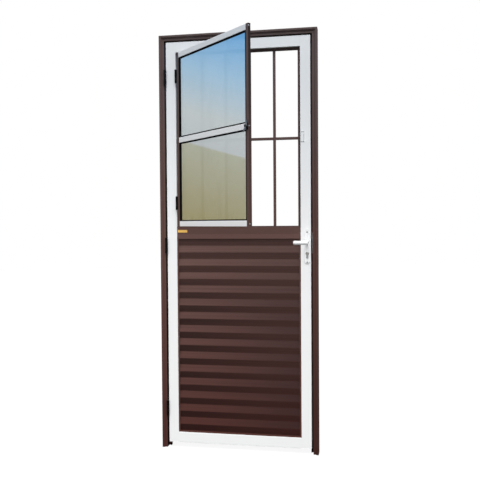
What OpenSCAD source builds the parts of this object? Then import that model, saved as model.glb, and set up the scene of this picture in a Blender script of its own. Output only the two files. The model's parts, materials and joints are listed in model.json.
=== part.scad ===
// Aluminium entry door in its frame, with a ribbed lower panel, a grille and a glazed vent sash.
// X runs to the right as seen from the room, Y from the room to the outside, Z up, in millimetres.
// The origin lies on the floor line, midway between the jambs, in the plane of the frame's room side.

/* [Frame] */
// Overall width of the frame
frame_width = 800; // [720:10:960]
// Overall height of the frame
frame_height = 2100; // [2060:10:2200]
// Wall of the frame profile
frame_wall = 1.6; // [1.2:0.1:2.4]
// Width of the frame's face, from its outer edge to the rebate
face_width = 26; // [24:1:36]
// Width of the proud lip along the outer edge
lip_width = 9; // [6:1:12]
// Width of the bevel beside the lip
bevel_width = 8; // [5:1:11]
// Height of the lip over the rest of the face
lip_height = 7; // [6:0.5:9]
// Reach of the stop past the rebate
stop_width = 13; // [12:0.5:14]
// Depth of the stop
stop_depth = 12; // [8:1:20]
// Room between the back of the leaf and the stop
seal_room = 4; // [3.5:0.5:6]
// Width of the seal on the stop
seal_width = 5.8; // [5:0.2:7]
// Radius of the holes for the wall screws
fixing_hole_r = 2.75; // [2.25:0.25:4]
// Distance of the wall screws from both ends of a jamb
fixing_inset = 300; // [280:10:500]
// Length of each arm of the corner cleats
cleat_arm = 60; // [40:5:90]
// Width of the corner cleats across the profile
cleat_depth = 16; // [10:1:24]

/* [Leaf] */
// Gap between the leaf and the rebate of the frame
side_gap = 9; // [8:0.5:11]
// Height of the leaf's lower edge over the floor
floor_gap = 28; // [10:1:40]
// Thickness of the leaf
leaf_thickness = 28; // [26:1:34]
// Distance of the leaf's face behind the face of the frame
leaf_setback = 1; // [0.5:0.5:2]
// Wall of the leaf's stiles and rails
leaf_wall = 1.5; // [1.2:0.1:2]
// Width of the stiles
stile_width = 50; // [48:1:60]
// Height of the top and bottom rails
rail_height = 52; // [40:1:70]
// Height of the mid rail's upper edge over the floor
mid_rail_top = 1131; // [1120:1:1160]
// Height of the mid rail
mid_rail_height = 61; // [50:1:66]
// Distance of the mid rail's flat face behind the leaf's face
mid_rail_recess = 3; // [2:0.5:4]
// Height of the flared drip lip at the foot of the mid rail
drip_height = 24; // [16:1:28]
// Chamfer along the edges of stiles and rails
edge_chamfer = 0.8; // [0.4:0.1:1.2]

/* [Panel] */
// Number of panel boards
board_count = 5; // [4:1:5]
// Number of ridges on each board
ridges = 3; // [2:1:3]
// Height ripped off the foot of the lowest board
board_trim = 27; // [10:1:32]
// Depth from a ridge to the valley beside it
ridge_depth = 8.5; // [6:0.5:9]
// Thickness of a board between two facing valleys
board_core = 4; // [3.4:0.2:5]
// Wall of the boards
board_wall = 1.2; // [1:0.1:1.4]
// Width of the flat land along each ridge and valley
ridge_land = 2; // [1:0.5:4]
// Width of the tongue between two boards
tongue_width = 3; // [2:0.5:5]
// Height of the tongue
tongue_height = 4; // [3:0.5:6]
// Face of the channels that hold the boards
channel_face = 8; // [6:1:12]
// Wall of the channels
channel_wall = 1.2; // [1:0.1:1.6]

/* [Grille] */
// Number of uprights between the side bars
upright_count = 4; // [3:1:6]
// Width of every bar of the grille
bar_width = 13; // [11:0.5:16]
// Depth of the bars
bar_depth = 12; // [10:0.5:14]
// Wall of the bars
bar_wall = 1.2; // [1:0.1:1.6]
// Distance of the cross bar's centre under the middle of the opening
cross_bar_drop = 5; // [-100:1:100]
// Width of the seal that the sash closes on
window_seal_width = 5; // [4:0.5:6]

/* [Sash] */
// Angle at which the sash stands open
sash_open = 45; // [0:1:90]
// Gap between the sash and the opening of the leaf
sash_gap = 3.5; // [3:0.25:4.5]
// Thickness of the sash
sash_thickness = 14; // [13:0.5:15]
// Distance of the sash's face in front of the leaf's face
sash_proud = 2; // [1:0.5:3]
// Width of the sash stiles
sash_stile = 18; // [17:0.5:26]
// Height of the sash rails
sash_rail = 26; // [24:1:36]
// Distance of the sash mid rail's centre under the middle of the sash
sash_mid_drop = 3; // [-60:1:60]
// Thickness of the glass
glass_thickness = 4; // [3:0.5:5]
// Thickness of the gasket on each side of the glass
gasket_wall = 1.5; // [1:0.25:2]
// Width of gasket that shows around the glass
gasket_show = 6; // [2:0.5:8]
// Depth of the groove that takes the glass
glass_groove = 7; // [5:0.5:8]
// Depth of the front fin that covers the edge of the glass
front_fin = 4.5; // [3:0.25:5]

/* [Hinges] */
// Height of the door hinges
hinge_height = 76; // [60:2:90]
// Radius of the door hinge knuckles
knuckle_r = 7; // [6:0.5:7.5]
// Radius of the door hinge pins
hinge_pin_r = 3; // [2.5:0.25:3.5]
// Thickness of the door hinge flaps
flap_thickness = 2; // [1.5:0.1:2.4]
// Depth of the door hinge flaps
flap_depth = 26; // [18:1:27]
// Radius of the screw holes in the door hinge flaps
flap_screw_r = 2.1; // [1.5:0.1:2.5]
// Distance of the end door hinges' centres from the ends of the leaf
door_hinge_inset = 176.5; // [150:0.5:220]
// Distance of the middle door hinge's centre under the middle of the leaf
mid_hinge_drop = 9; // [0:1:40]
// Height of the sash hinges
sash_hinge_height = 64; // [50:2:80]
// Radius of the sash hinge knuckles
sash_knuckle_r = 5; // [4:0.5:5.5]
// Radius of the sash hinge pins
sash_pin_r = 2; // [1.5:0.25:2.5]
// Thickness of the sash hinge flaps
sash_flap_thickness = 1.2; // [1:0.1:1.3]
// Radius of the screw holes in the sash hinge flaps
sash_flap_screw_r = 1.5; // [1.2:0.1:2]
// Distance of each sash hinge's centre from the end of the sash
sash_hinge_inset = 118; // [80:1:200]

/* [Lock] */
// Height of the lever's axis over the floor
lever_height = 1051; // [1045:1:1058]
// Distance of the lever's axis from the edge of the leaf
backset = 18; // [17.5:0.5:22]
// Width of the handle plates
plate_width = 26; // [22:1:26]
// Thickness of the handle plates
plate_thickness = 3; // [2:0.5:3]
// Reach of the handle plates over the lever's axis
plate_above = 68; // [56:1:80]
// Reach of the handle plates under the lever's axis
plate_below = 104; // [96:1:130]
// Radius of the lever's neck
neck_r = 8; // [7:0.25:8.5]
// Length of the lever from its axis to its tip
lever_length = 66; // [55:1:110]
// Distance of the lever's grip from the face of the leaf
lever_reach = 50; // [42:1:58]
// Height of the lever's grip
grip_height = 20; // [16:1:24]
// Thickness of the lever's grip
grip_thickness = 13; // [10:1:16]
// Side of the square spindle
spindle_side = 8; // [7:0.5:8]
// Distance of the key's axis under the lever's axis
key_drop = 54; // [54:1:64]
// Radius of the turning key plug
plug_r = 6; // [5:0.25:6.5]
// Height of the latch bolt
latch_height = 18; // [14:1:18]
// Thickness of both bolts
bolt_thickness = 10; // [8:0.5:11]
// Reach of the latch bolt past the edge of the leaf
latch_reach = 13; // [11:0.5:15]
// Height of the dead bolt
dead_bolt_height = 20; // [14:1:20]
// Thickness of the lock case
case_thickness = 16; // [14:0.5:18]
// Depth of the lock case behind its faceplate
case_depth = 44; // [40:1:45]
// Width of the lock's faceplate
faceplate_width = 20; // [18:1:22]
// Thickness of the faceplate
faceplate_thickness = 2.5; // [2:0.25:3]
// Thickness of the strike plate
strike_thickness = 1.5; // [1:0.25:2]
// Radius of the screw holes in the handle plates, the faceplate and the strike plate
lock_screw_r = 1.7; // [1.4:0.1:2]

/* [Sash latch] */
// Length of the latch nose from its pivot
nose_length = 26; // [22:0.5:27]
// Width of the latch nose
nose_width = 9; // [7:0.5:11]
// Thickness of the latch nose
nose_thickness = 3.5; // [3:0.25:4]
// Radius of the latch hub
latch_hub_r = 7; // [6:0.5:8]
// Radius of the pivot that the latch turns on
latch_pin_r = 3; // [2.5:0.25:3.5]
// Thickness of the latch base
latch_base_thickness = 3.5; // [3:0.25:4]
// Height of the latch base
latch_base_height = 34; // [28:1:40]
// Width of the keeper
keeper_width = 15; // [14:0.5:18]
// Height of the keeper
keeper_height = 45; // [36:1:54]
// Depth of the keeper from the leaf's face
keeper_depth = 12.5; // [12:0.25:15]
// Wall of the keeper
keeper_wall = 2.5; // [2:0.25:3]

/* [Hidden] */
$fn = 48;

// Named clearances
running_fit = 0.05;
sliding_fit = 0.2;
part_gap = 0.3;
flap_clear = 0.4;
joint_gap = 0.1;
cut_over = 2;

// Growth of a countersunk hole's radius for each millimetre of its depth
sink_slope = 0.8;

// Places of the frame
half_frame = frame_width / 2;
return_x = half_frame - face_width;
head_return = frame_height - face_width;
leaf_front = lip_height + leaf_setback;
leaf_back = leaf_front + leaf_thickness;
stop_front = leaf_back + seal_room;
frame_depth = stop_front + stop_depth;
stop_x = return_x - stop_width;
stop_top = head_return - stop_width;
seal_height = seal_room - part_gap;
seal_foot = seal_height / 3;
seal_nose_inset = seal_width / 4;
fixing_y = (lip_height + stop_front) / 2;
cleat_play = 0.4;

// Places of the leaf
leaf_half = return_x - side_gap;
leaf_top = head_return - side_gap;
leaf_height = leaf_top - floor_gap;
leaf_mid = (leaf_front + leaf_back) / 2;
opening_half = leaf_half - stile_width;
opening_top = leaf_top - rail_height;
mid_rail_bottom = mid_rail_top - mid_rail_height;
drip_foot = 2;

// Places of the panel
panel_bottom = floor_gap + rail_height;
panel_floor = panel_bottom + channel_wall;
panel_start = panel_floor - board_trim;
board_height = (mid_rail_bottom - panel_start) / board_count;
ridge_pitch = board_height / ridges;
board_half_ridge = board_core / 2 + ridge_depth;
facet_run = ridge_pitch / 2 - ridge_land;
board_wall_y = board_wall * sqrt(1 + pow(ridge_depth / facet_run, 2));
groove_height = tongue_height + sliding_fit;
board_foot = groove_height + board_wall;
channel_half = board_half_ridge + sliding_fit + channel_wall;
board_half = opening_half - channel_wall - part_gap;

// Places of the grille
bar_front = leaf_back - bar_depth;
grille_inner = opening_half - bar_width;
upright_pitch = (2 * opening_half - bar_width) / (upright_count + 1);
cross_bar_height = (mid_rail_top + opening_top) / 2 - cross_bar_drop;
upright_top = opening_top - bar_width;

// Places of the sash, closed
sash_half = opening_half - sash_gap;
sash_bottom = mid_rail_top + sash_gap;
sash_top = opening_top - sash_gap;
sash_height = sash_top - sash_bottom;
sash_front = leaf_front - sash_proud;
sash_back = sash_front + sash_thickness;
window_seal_height = bar_front - sash_back - part_gap;
window_seal_inset = 0.5;
glass_half = sash_half - sash_stile;
glass_room = glass_thickness + 2 * gasket_wall;
glass_front = sash_front + front_fin + gasket_wall;
sash_wall = 1.2;
bead_setback = 0.7;
bead_front = sash_front + bead_setback;
gasket_reach = glass_groove - part_gap;
glass_reach = gasket_reach - gasket_wall;
sash_mid_height = (sash_bottom + sash_top) / 2 - sash_mid_drop;
sash_mid_low = sash_mid_height - sash_rail / 2;
sash_mid_high = sash_mid_height + sash_rail / 2;

// Hinge axes
hinge_room = side_gap / 2;
hinge_x = -return_x + hinge_room;
knuckle_inset = 1;
hinge_y = lip_height + knuckle_inset - knuckle_r;
hinge_names = ["bottom", "middle", "top"];
sash_hinge_room = sash_gap / 2;
sash_axis_x = -opening_half + sash_hinge_room;
sash_knuckle_clear = 1;
sash_axis_y = sash_front - sash_knuckle_clear - sash_knuckle_r;
sash_hinge_names = ["lower", "upper"];
sash_flap_inset = 2;
sash_flap_depth = sash_thickness - sash_flap_inset;
pin_cap = 3;
pin_cap_play = 0.2;
pin_cap_inset = 0.5;
pin_cap_taper = 0.6;
flap_screws = 3;
sash_flap_screws = 2;

// Places of the lock
lock_x = leaf_half - backset;
key_height = lever_height - key_drop;
plate_top = lever_height + plate_above;
plate_bottom = lever_height - plate_below;
plate_screw_top = 16.5;
plate_screw_foot = 7;
grip_taper = 1;
faceplate_back = leaf_half - faceplate_thickness;
case_back = faceplate_back - case_depth;
case_front = leaf_mid - case_thickness / 2;
case_wall = 1.2;
follower_r = 11;
follower_boss_r = 7;
follower_arm = 16.5;
follower_arm_width = 5;
follower_clear = 0.5;
latch_bottom = lever_height + follower_arm + follower_clear;
latch_top = latch_bottom + latch_height;
latch_lug = 5;
latch_lug_width = 6;
lug_clear = 0.6;
latch_tail = lock_x - follower_arm_width / 2 - lug_clear - latch_lug_width;
latch_tip = leaf_half + latch_reach;
latch_flat = 3;
latch_bevel_start = 2;
bolt_front = leaf_mid - bolt_thickness / 2;
bolt_back = leaf_mid + bolt_thickness / 2;
dead_bolt_drop = 8;
dead_bolt_top = lever_height - follower_r - dead_bolt_drop;
dead_bolt_bottom = dead_bolt_top - dead_bolt_height;
dead_bolt_length = 30;
case_margin = 6;
case_top = latch_top + case_margin;
cylinder_r = 8.5;
cylinder_web = 10;
cylinder_tail = 24.5;
case_bottom = key_height - cylinder_tail - case_margin;
faceplate_end = 10;
cylinder_proud = 1;
cam_r = 12;
cam_thickness = 4;
cam_pocket_r = cam_r + follower_clear;
cam_hub_r = cylinder_r - 1;
cam_finger = 5;
keyway_half = 0.7;
keyway_depth = 8;
keyway_height = 6;
strike_end = 14;
strike_depth = 24;
window_play = 1;

// Places of the sash latch
latch_x = sash_half - sash_stile / 2;
latch_base_front = sash_front - latch_base_thickness;
nose_back = latch_base_front - part_gap;
hub_length = 9;
hub_front = nose_back - hub_length;
latch_base_inset = 1;
pivot_head_r = latch_pin_r + 1.5;
pivot_head_height = 1.2;
thumb_root_drop = latch_hub_r / 2;
thumb_root_thickness = 3;
thumb_bend_drop = 14;
thumb_bend_lean = 3;
thumb_drop = 24;
thumb_lean = 9;
thumb_thickness = 2;
thumb_tip_r = 4;
keeper_inset = 3;
keeper_left = opening_half + keeper_inset;
keeper_right = keeper_left + keeper_width;
keeper_chamfer = 1.5;
keeper_lead = 1;

// Colours of the finishes
brown = "#5a4340";
white = "#eceef0";
black = "#171414";
seal_brown = "#4e3f3e";
clear = "#9db4bf";
steel = "#b9bcc0";
bronze = "#c9b27a";

// A block between two opposite corners
module block(low, high) {
    translate(low) cube(high - low);
}

// A round bar along X
module rod_x(from, to, y, z, r) {
    translate([from, y, z]) rotate([0, 90, 0]) cylinder(r = r, h = to - from);
}

// A round bar along Y
module rod_y(x, z, from, to, r) {
    translate([x, to, z]) rotate([90, 0, 0]) cylinder(r = r, h = to - from);
}

// A countersunk screw hole, from the origin down through a plate
module screw_hole(thick, r) {
    over = part_gap;
    translate([0, 0, -thick - over])
        cylinder(r1 = r - sink_slope * over, r2 = r + sink_slope * (thick + over), h = thick + 2 * over);
}

// Outline of a rectangle with chamfered corners
function chamfered(w, d, c) = [
    [c, 0], [w - c, 0], [w, c], [w, d - c], [w - c, d], [c, d], [0, d - c], [0, c]
];

// Section of a hollow bar with chamfered edges
module tube_section(w, d, wall, chamfer) {
    difference() {
        polygon(chamfered(w, d, chamfer));
        translate([wall, wall]) square([w - 2 * wall, d - 2 * wall]);
    }
}

// A hollow bar along Z with its low corner at the origin
module tube_z(w, d, length, wall, chamfer) {
    linear_extrude(length) tube_section(w, d, wall, chamfer);
}

// A hollow bar along X with its low corner at the origin; d lies along Y and h along Z
module tube_x(length, d, h, wall, chamfer) {
    rotate([90, 0, 90]) linear_extrude(length) tube_section(d, h, wall, chamfer);
}

// Frame

// Outline of the frame profile, moved inwards by a wall: across from the outer edge, then depth
function frame_outline(wall) =
    let (shift = wall * tan(atan2(lip_height, bevel_width) / 2))
    [
        [wall, wall],
        [lip_width - shift, wall],
        [lip_width + bevel_width - shift, lip_height + wall],
        [face_width - wall, lip_height + wall],
        [face_width - wall, stop_front + wall],
        [face_width + stop_width - wall, stop_front + wall],
        [face_width + stop_width - wall, frame_depth - wall],
        [wall, frame_depth - wall]
    ];

module frame_section() {
    difference() {
        polygon(frame_outline(0));
        polygon(frame_outline(frame_wall));
    }
}

// Everything on one side of the mitre at the frame's upper left corner
module mitre_waste(above) {
    size = 2 * (face_width + stop_width);
    translate([-half_frame, -cut_over, frame_height])
        rotate([0, 45, 0])
            translate([-size, 0, above ? 0 : -size])
                cube([3 * size, frame_depth + 2 * cut_over, size]);
}

// The jamb on the left, mitred at the head and drilled for its wall screws
module plain_jamb() {
    difference() {
        translate([-half_frame, 0, 0]) linear_extrude(frame_height) frame_section();
        mitre_waste(true);
        for (z = [fixing_inset, frame_height - fixing_inset])
            rod_x(-half_frame - cut_over, -return_x + cut_over, fixing_y, z, fixing_hole_r);
    }
}

module hinge_jamb() {
    color(brown) plain_jamb();
}

module lock_jamb() {
    color(brown) difference() {
        mirror([1, 0, 0]) plain_jamb();
        bolt_windows(return_x - cut_over, return_x + frame_wall + cut_over, window_play);
    }
}

module frame_head() {
    color(brown) difference() {
        translate([-half_frame, 0, frame_height])
            rotate([0, 90, 0])
                linear_extrude(frame_width) frame_section();
        mitre_waste(false);
        mirror([1, 0, 0]) mitre_waste(false);
    }
}

// Section of the seal: a foot on the stop and a narrower nose towards the leaf
module seal_section() {
    polygon([
        [0, 0],
        [seal_width, 0],
        [seal_width, -seal_foot],
        [seal_width - seal_nose_inset, -seal_height],
        [seal_nose_inset, -seal_height],
        [0, -seal_foot]
    ]);
}

module frame_seals() {
    seal_x = stop_x + sliding_fit;
    seal_z = stop_top + sliding_fit;
    color(black) {
        for (side = [0, 1])
            mirror([side, 0, 0])
                translate([seal_x, stop_front, 0]) linear_extrude(seal_z - joint_gap) seal_section();
        translate([-seal_x - seal_width, stop_front, seal_z + seal_width])
            rotate([0, 90, 0])
                linear_extrude(2 * (seal_x + seal_width)) seal_section();
    }
}

// Angle pieces in the hollow of the profile that hold the mitres together
module corner_cleats() {
    inset = frame_wall + cleat_play;
    thick = face_width - 2 * inset;
    cleat_front = stop_front - cleat_depth;
    cleat_back = stop_front;
    color(steel) for (side = [0, 1]) mirror([side, 0, 0]) {
        difference() {
            block(
                [-half_frame + inset, cleat_front, frame_height - inset - cleat_arm],
                [-half_frame + inset + cleat_arm, cleat_back, frame_height - inset]
            );
            block(
                [-half_frame + inset + thick, cleat_front - cut_over, 0],
                [0, cleat_back + cut_over, frame_height - inset - thick]
            );
        }
    }
}

// The openings that both bolts pass through
module bolt_windows(from, to, play) {
    for (span = [[latch_bottom, latch_top], [dead_bolt_bottom, dead_bolt_top]])
        block(
            [from, bolt_front - play, span[0] - play],
            [to, bolt_back + play, span[1] + play]
        );
}

module strike_plate() {
    color(steel) difference() {
        block(
            [return_x - strike_thickness, leaf_mid - strike_depth / 2, dead_bolt_bottom - strike_end],
            [return_x, leaf_mid + strike_depth / 2, latch_top + strike_end]
        );
        bolt_windows(return_x - strike_thickness - cut_over, return_x + cut_over, window_play);
        for (z = [dead_bolt_bottom - strike_end / 2, latch_top + strike_end / 2])
            translate([return_x - strike_thickness, leaf_mid, z])
                rotate([0, -90, 0]) screw_hole(strike_thickness, lock_screw_r);
    }
}

// Hinges

// Spans of the knuckles along a hinge: the outer two on the fixed flap, the middle one on the moving flap
function outer_knuckles(height) = [
    [0, height / 3 - part_gap / 2],
    [2 * height / 3 + part_gap / 2, height]
];
function middle_knuckle(height) = [[height / 3 + part_gap / 2, 2 * height / 3 - part_gap / 2]];

// A hinge flap about the Z axis: a plate at a distance from the axis, with rolled knuckles and screw holes
// that stand alternately nearer to the axis and farther from it
module hinge_flap(side, room, thick, depth, r, bore_r, height, spans, screws, screw_r) {
    plate_x = side > 0 ? room - thick : -room;
    open_x = side > 0 ? plate_x : plate_x + thick;
    plate_mid = r + flap_clear + depth / 2;
    stagger = depth / 6;
    difference() {
        union() {
            translate([plate_x, r + flap_clear, 0]) cube([thick, depth, height]);
            for (span = spans) translate([0, 0, span[0]]) {
                cylinder(r = r, h = span[1] - span[0]);
                translate([plate_x, 0, 0]) cube([thick, r + flap_clear, span[1] - span[0]]);
            }
        }
        translate([0, 0, -cut_over]) cylinder(r = bore_r, h = height + 2 * cut_over);
        for (i = [0:screws - 1])
            translate([open_x, plate_mid + (i % 2 == 0 ? -stagger : stagger), height * (i + 0.5) / screws])
                rotate([0, -side * 90, 0]) screw_hole(thick, screw_r);
    }
}

// A hinge pin about the Z axis with a tapered cap at each end
module hinge_pin(r, cap_r, height) {
    cap_base = height + pin_cap_play;
    translate([0, 0, -pin_cap_play]) cylinder(r = r, h = height + 2 * pin_cap_play);
    translate([0, 0, cap_base]) cylinder(r1 = cap_r, r2 = cap_r * pin_cap_taper, h = pin_cap);
    translate([0, 0, -pin_cap_play - pin_cap]) cylinder(r1 = cap_r * pin_cap_taper, r2 = cap_r, h = pin_cap);
}

// Moves a hinge to the foot of door hinge i
module at_door_hinge(i) {
    first = floor_gap + door_hinge_inset;
    last = len(hinge_names) - 1;
    pitch = (leaf_height - 2 * door_hinge_inset) / last;
    drop = i > 0 && i < last ? mid_hinge_drop : 0;
    translate([hinge_x, hinge_y, first + i * pitch - drop - hinge_height / 2]) children();
}

module hinge_frame_flap(i) {
    color(black) at_door_hinge(i)
        hinge_flap(-1, hinge_room, flap_thickness, flap_depth, knuckle_r,
            hinge_pin_r + running_fit, hinge_height, outer_knuckles(hinge_height), flap_screws, flap_screw_r);
}

module hinge_leaf_flap(i) {
    color(black) at_door_hinge(i)
        hinge_flap(1, hinge_room, flap_thickness, flap_depth, knuckle_r,
            hinge_pin_r + running_fit, hinge_height, middle_knuckle(hinge_height), flap_screws, flap_screw_r);
}

module door_hinge_pins() {
    color(black) for (i = [0:len(hinge_names) - 1])
        at_door_hinge(i) hinge_pin(hinge_pin_r, knuckle_r - pin_cap_inset, hinge_height);
}

// Moves a hinge to the foot of sash hinge i
module at_sash_hinge(i) {
    centre = i == 0 ? sash_bottom + sash_hinge_inset : sash_top - sash_hinge_inset;
    translate([sash_axis_x, sash_axis_y, centre - sash_hinge_height / 2]) children();
}

module sash_hinge_leaf_flap(i) {
    color(black) at_sash_hinge(i)
        hinge_flap(-1, sash_hinge_room, sash_flap_thickness, sash_flap_depth, sash_knuckle_r,
            sash_pin_r + running_fit, sash_hinge_height, outer_knuckles(sash_hinge_height),
            sash_flap_screws, sash_flap_screw_r);
}

module sash_hinge_sash_flap(i) {
    color(black) opened() at_sash_hinge(i)
        hinge_flap(1, sash_hinge_room, sash_flap_thickness, sash_flap_depth, sash_knuckle_r,
            sash_pin_r + running_fit, sash_hinge_height, middle_knuckle(sash_hinge_height),
            sash_flap_screws, sash_flap_screw_r);
}

module sash_hinge_pins() {
    color(black) for (i = [0:len(sash_hinge_names) - 1])
        at_sash_hinge(i) hinge_pin(sash_pin_r, sash_knuckle_r - pin_cap_inset, sash_hinge_height);
}

// Leaf

module plain_stile() {
    tube_z(stile_width, leaf_thickness, leaf_height, leaf_wall, edge_chamfer);
}

module hinge_stile() {
    color(white) translate([-leaf_half, leaf_front, floor_gap]) plain_stile();
}

// The lock stile is cut for the faceplate, the lever's neck and the key cylinder
module lock_stile() {
    cut_half = faceplate_width / 2 + sliding_fit;
    color(white) difference() {
        translate([opening_half, leaf_front, floor_gap]) plain_stile();
        block(
            [faceplate_back, leaf_mid - cut_half, faceplate_low() - sliding_fit],
            [leaf_half + cut_over, leaf_mid + cut_half, faceplate_high() + sliding_fit]
        );
        rod_y(lock_x, lever_height, leaf_front - cut_over, leaf_back + cut_over, neck_r + window_play);
        cylinder_form(leaf_front - cut_over, leaf_back + cut_over, sliding_fit);
    }
}

// A rail across the leaf between its stiles
module plain_rail(z) {
    translate([-opening_half, leaf_front, z])
        tube_x(2 * opening_half, leaf_thickness, rail_height, leaf_wall, edge_chamfer);
}

module top_rail() {
    color(white) plain_rail(opening_top);
}

module bottom_rail() {
    color(white) plain_rail(floor_gap);
}

// Section of the mid rail, moved inwards by a wall: depth, then height, with its drip lip in front
function mid_rail_outline(wall) = [
    [wall, wall],
    [leaf_thickness - wall, wall],
    [leaf_thickness - wall, mid_rail_height - wall],
    [mid_rail_recess + wall, mid_rail_height - wall],
    [mid_rail_recess + wall, drip_height],
    [wall, drip_foot + wall / 2]
];

module mid_rail() {
    color(brown) translate([-opening_half, leaf_front, mid_rail_bottom])
        rotate([90, 0, 90])
            linear_extrude(2 * opening_half)
                difference() {
                    polygon(mid_rail_outline(0));
                    polygon(mid_rail_outline(leaf_wall));
                }
}

// Panel

// One face of a board from its foot to its head: ridges at the ends and valleys between them
function board_face(ridge, valley) = concat(
    [[ridge, 0]],
    [for (i = [0:ridges - 1]) each [
        [ridge, i * ridge_pitch + ridge_land / 2],
        [valley, (i + 0.5) * ridge_pitch - ridge_land / 2],
        [valley, (i + 0.5) * ridge_pitch + ridge_land / 2],
        [ridge, (i + 1) * ridge_pitch - ridge_land / 2]
    ]],
    [[ridge, board_height]]
);

// The ribbed outline of a board, both faces alike, moved inwards by a wall
function board_outline(wall) =
    let (
        ridge = board_half_ridge - wall,
        valley = board_core / 2 - wall,
        front = board_face(-ridge, -valley),
        back = board_face(ridge, valley)
    )
    concat(front, [for (i = [len(back) - 1:-1:0]) back[i]]);

module board_solid(half_length, wall) {
    translate([-half_length, 0, 0])
        rotate([90, 0, 90]) linear_extrude(2 * half_length) polygon(board_outline(wall));
}

// Board i of the panel from the bottom: hollow, with a groove below or a ripped foot, and a tongue above
module panel_board(i) {
    color(brown) translate([0, leaf_mid, panel_start + (i - 1) * board_height]) {
        difference() {
            board_solid(board_half, 0);
            intersection() {
                board_solid(board_half + cut_over, board_wall_y);
                block(
                    [-board_half - 2 * cut_over, -board_half_ridge, board_foot],
                    [board_half + 2 * cut_over, board_half_ridge, board_height - board_wall]
                );
            }
            if (i > 1)
                block(
                    [-board_half - cut_over, -tongue_width / 2 - sliding_fit, -cut_over],
                    [board_half + cut_over, tongue_width / 2 + sliding_fit, groove_height]
                );
            else
                block(
                    [-board_half - cut_over, -board_half_ridge - cut_over, -cut_over],
                    [board_half + cut_over, board_half_ridge + cut_over, board_trim]
                );
        }
        if (i < board_count)
            block(
                [-board_half, -tongue_width / 2, board_height],
                [board_half, tongue_width / 2, board_height + tongue_height]
            );
    }
}

// The channel on the left that the ends of the boards stand in
module plain_side_channel() {
    difference() {
        block(
            [-opening_half, leaf_mid - channel_half, panel_bottom],
            [-opening_half + channel_face, leaf_mid + channel_half, mid_rail_bottom]
        );
        block(
            [
                -opening_half + channel_wall,
                leaf_mid - channel_half + channel_wall,
                panel_bottom - cut_over
            ],
            [
                -opening_half + channel_face + cut_over,
                leaf_mid + channel_half - channel_wall,
                mid_rail_bottom + cut_over
            ]
        );
    }
}

module hinge_side_channel() {
    color(brown) plain_side_channel();
}

module lock_side_channel() {
    color(brown) mirror([1, 0, 0]) plain_side_channel();
}

module bottom_channel() {
    half_length = opening_half - channel_face;
    color(brown) difference() {
        block(
            [-half_length, leaf_mid - channel_half, panel_bottom],
            [half_length, leaf_mid + channel_half, panel_bottom + channel_face]
        );
        block(
            [-half_length - cut_over, leaf_mid - channel_half + channel_wall, panel_floor],
            [
                half_length + cut_over,
                leaf_mid + channel_half - channel_wall,
                panel_bottom + channel_face + cut_over
            ]
        );
    }
}

// Grille

module grille_frame() {
    side_height = opening_top - mid_rail_top;
    color(brown) {
        for (x = [-opening_half, grille_inner])
            translate([x, bar_front, mid_rail_top])
                tube_z(bar_width, bar_depth, side_height, bar_wall, edge_chamfer);
        translate([-grille_inner + joint_gap, bar_front, upright_top])
            tube_x(2 * (grille_inner - joint_gap), bar_depth, bar_width, bar_wall, edge_chamfer);
    }
}

// Left edge of upright i, where 0 is the left side bar of the grille
function upright_x(i) = -opening_half + i * upright_pitch;

module grille_uprights() {
    color(brown) for (i = [1:upright_count])
        translate([upright_x(i), bar_front, mid_rail_top])
            tube_z(bar_width, bar_depth, upright_top - mid_rail_top, bar_wall, edge_chamfer);
}

module grille_cross_bars() {
    color(brown) for (i = [0:upright_count])
        translate([upright_x(i) + bar_width, bar_front, cross_bar_height - bar_width / 2])
            tube_x(upright_pitch - bar_width, bar_depth, bar_width, bar_wall, edge_chamfer);
}

// The seal that the sash closes on: on the face of the grille, and on the mid rail under the sash
module window_seal() {
    seal_half = sash_half - window_seal_inset;
    front = bar_front - window_seal_height;
    low = sash_bottom - part_gap;
    high = sash_top - window_seal_inset;
    inset = window_seal_width;
    color(seal_brown) {
        difference() {
            block([-seal_half, front, mid_rail_top], [seal_half, bar_front, high]);
            block(
                [-seal_half + inset, front - cut_over, low],
                [seal_half - inset, bar_front + cut_over, high - inset]
            );
        }
        block([-seal_half, leaf_mid - bar_depth / 2, mid_rail_top], [seal_half, bar_front, low]);
    }
}

// Sash

// Turns what belongs to the sash to the angle at which it stands open
module opened() {
    translate([sash_axis_x, sash_axis_y, 0])
        rotate([0, 0, -sash_open])
            translate([-sash_axis_x, -sash_axis_y, 0]) children();
}

// Section of a sash bar: width across, then depth, with a groove for the glass on one or both edges
module sash_section(width, both) {
    hollow_from = both ? glass_groove + sash_wall : sash_wall;
    difference() {
        polygon(chamfered(width, sash_thickness, edge_chamfer));
        translate([width - glass_groove, front_fin]) square([glass_groove + cut_over, glass_room]);
        if (both)
            translate([-cut_over, front_fin]) square([glass_groove + cut_over, glass_room]);
        translate([hollow_from, sash_wall])
            square([width - glass_groove - sash_wall - hollow_from, sash_thickness - 2 * sash_wall]);
    }
}

// A sash rail along X whose section's width runs up from its lower edge
module sash_rail_bar(both) {
    rotate([0, 90, 0]) mirror([1, 0, 0]) linear_extrude(2 * glass_half) sash_section(sash_rail, both);
}

module sash_hinge_stile() {
    color(brown) opened()
        translate([-sash_half, sash_front, sash_bottom])
            linear_extrude(sash_height) sash_section(sash_stile, false);
}

module sash_lock_stile() {
    color(brown) opened()
        translate([sash_half, sash_front, sash_bottom])
            mirror([1, 0, 0]) linear_extrude(sash_height) sash_section(sash_stile, false);
}

module sash_bottom_rail() {
    color(white) opened() translate([-glass_half, sash_front, sash_bottom]) sash_rail_bar(false);
}

module sash_mid_rail() {
    color(white) opened() translate([-glass_half, sash_front, sash_mid_low]) sash_rail_bar(true);
}

module sash_top_rail() {
    color(white) opened()
        translate([-glass_half, sash_front, sash_top]) mirror([0, 0, 1]) sash_rail_bar(false);
}

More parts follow.
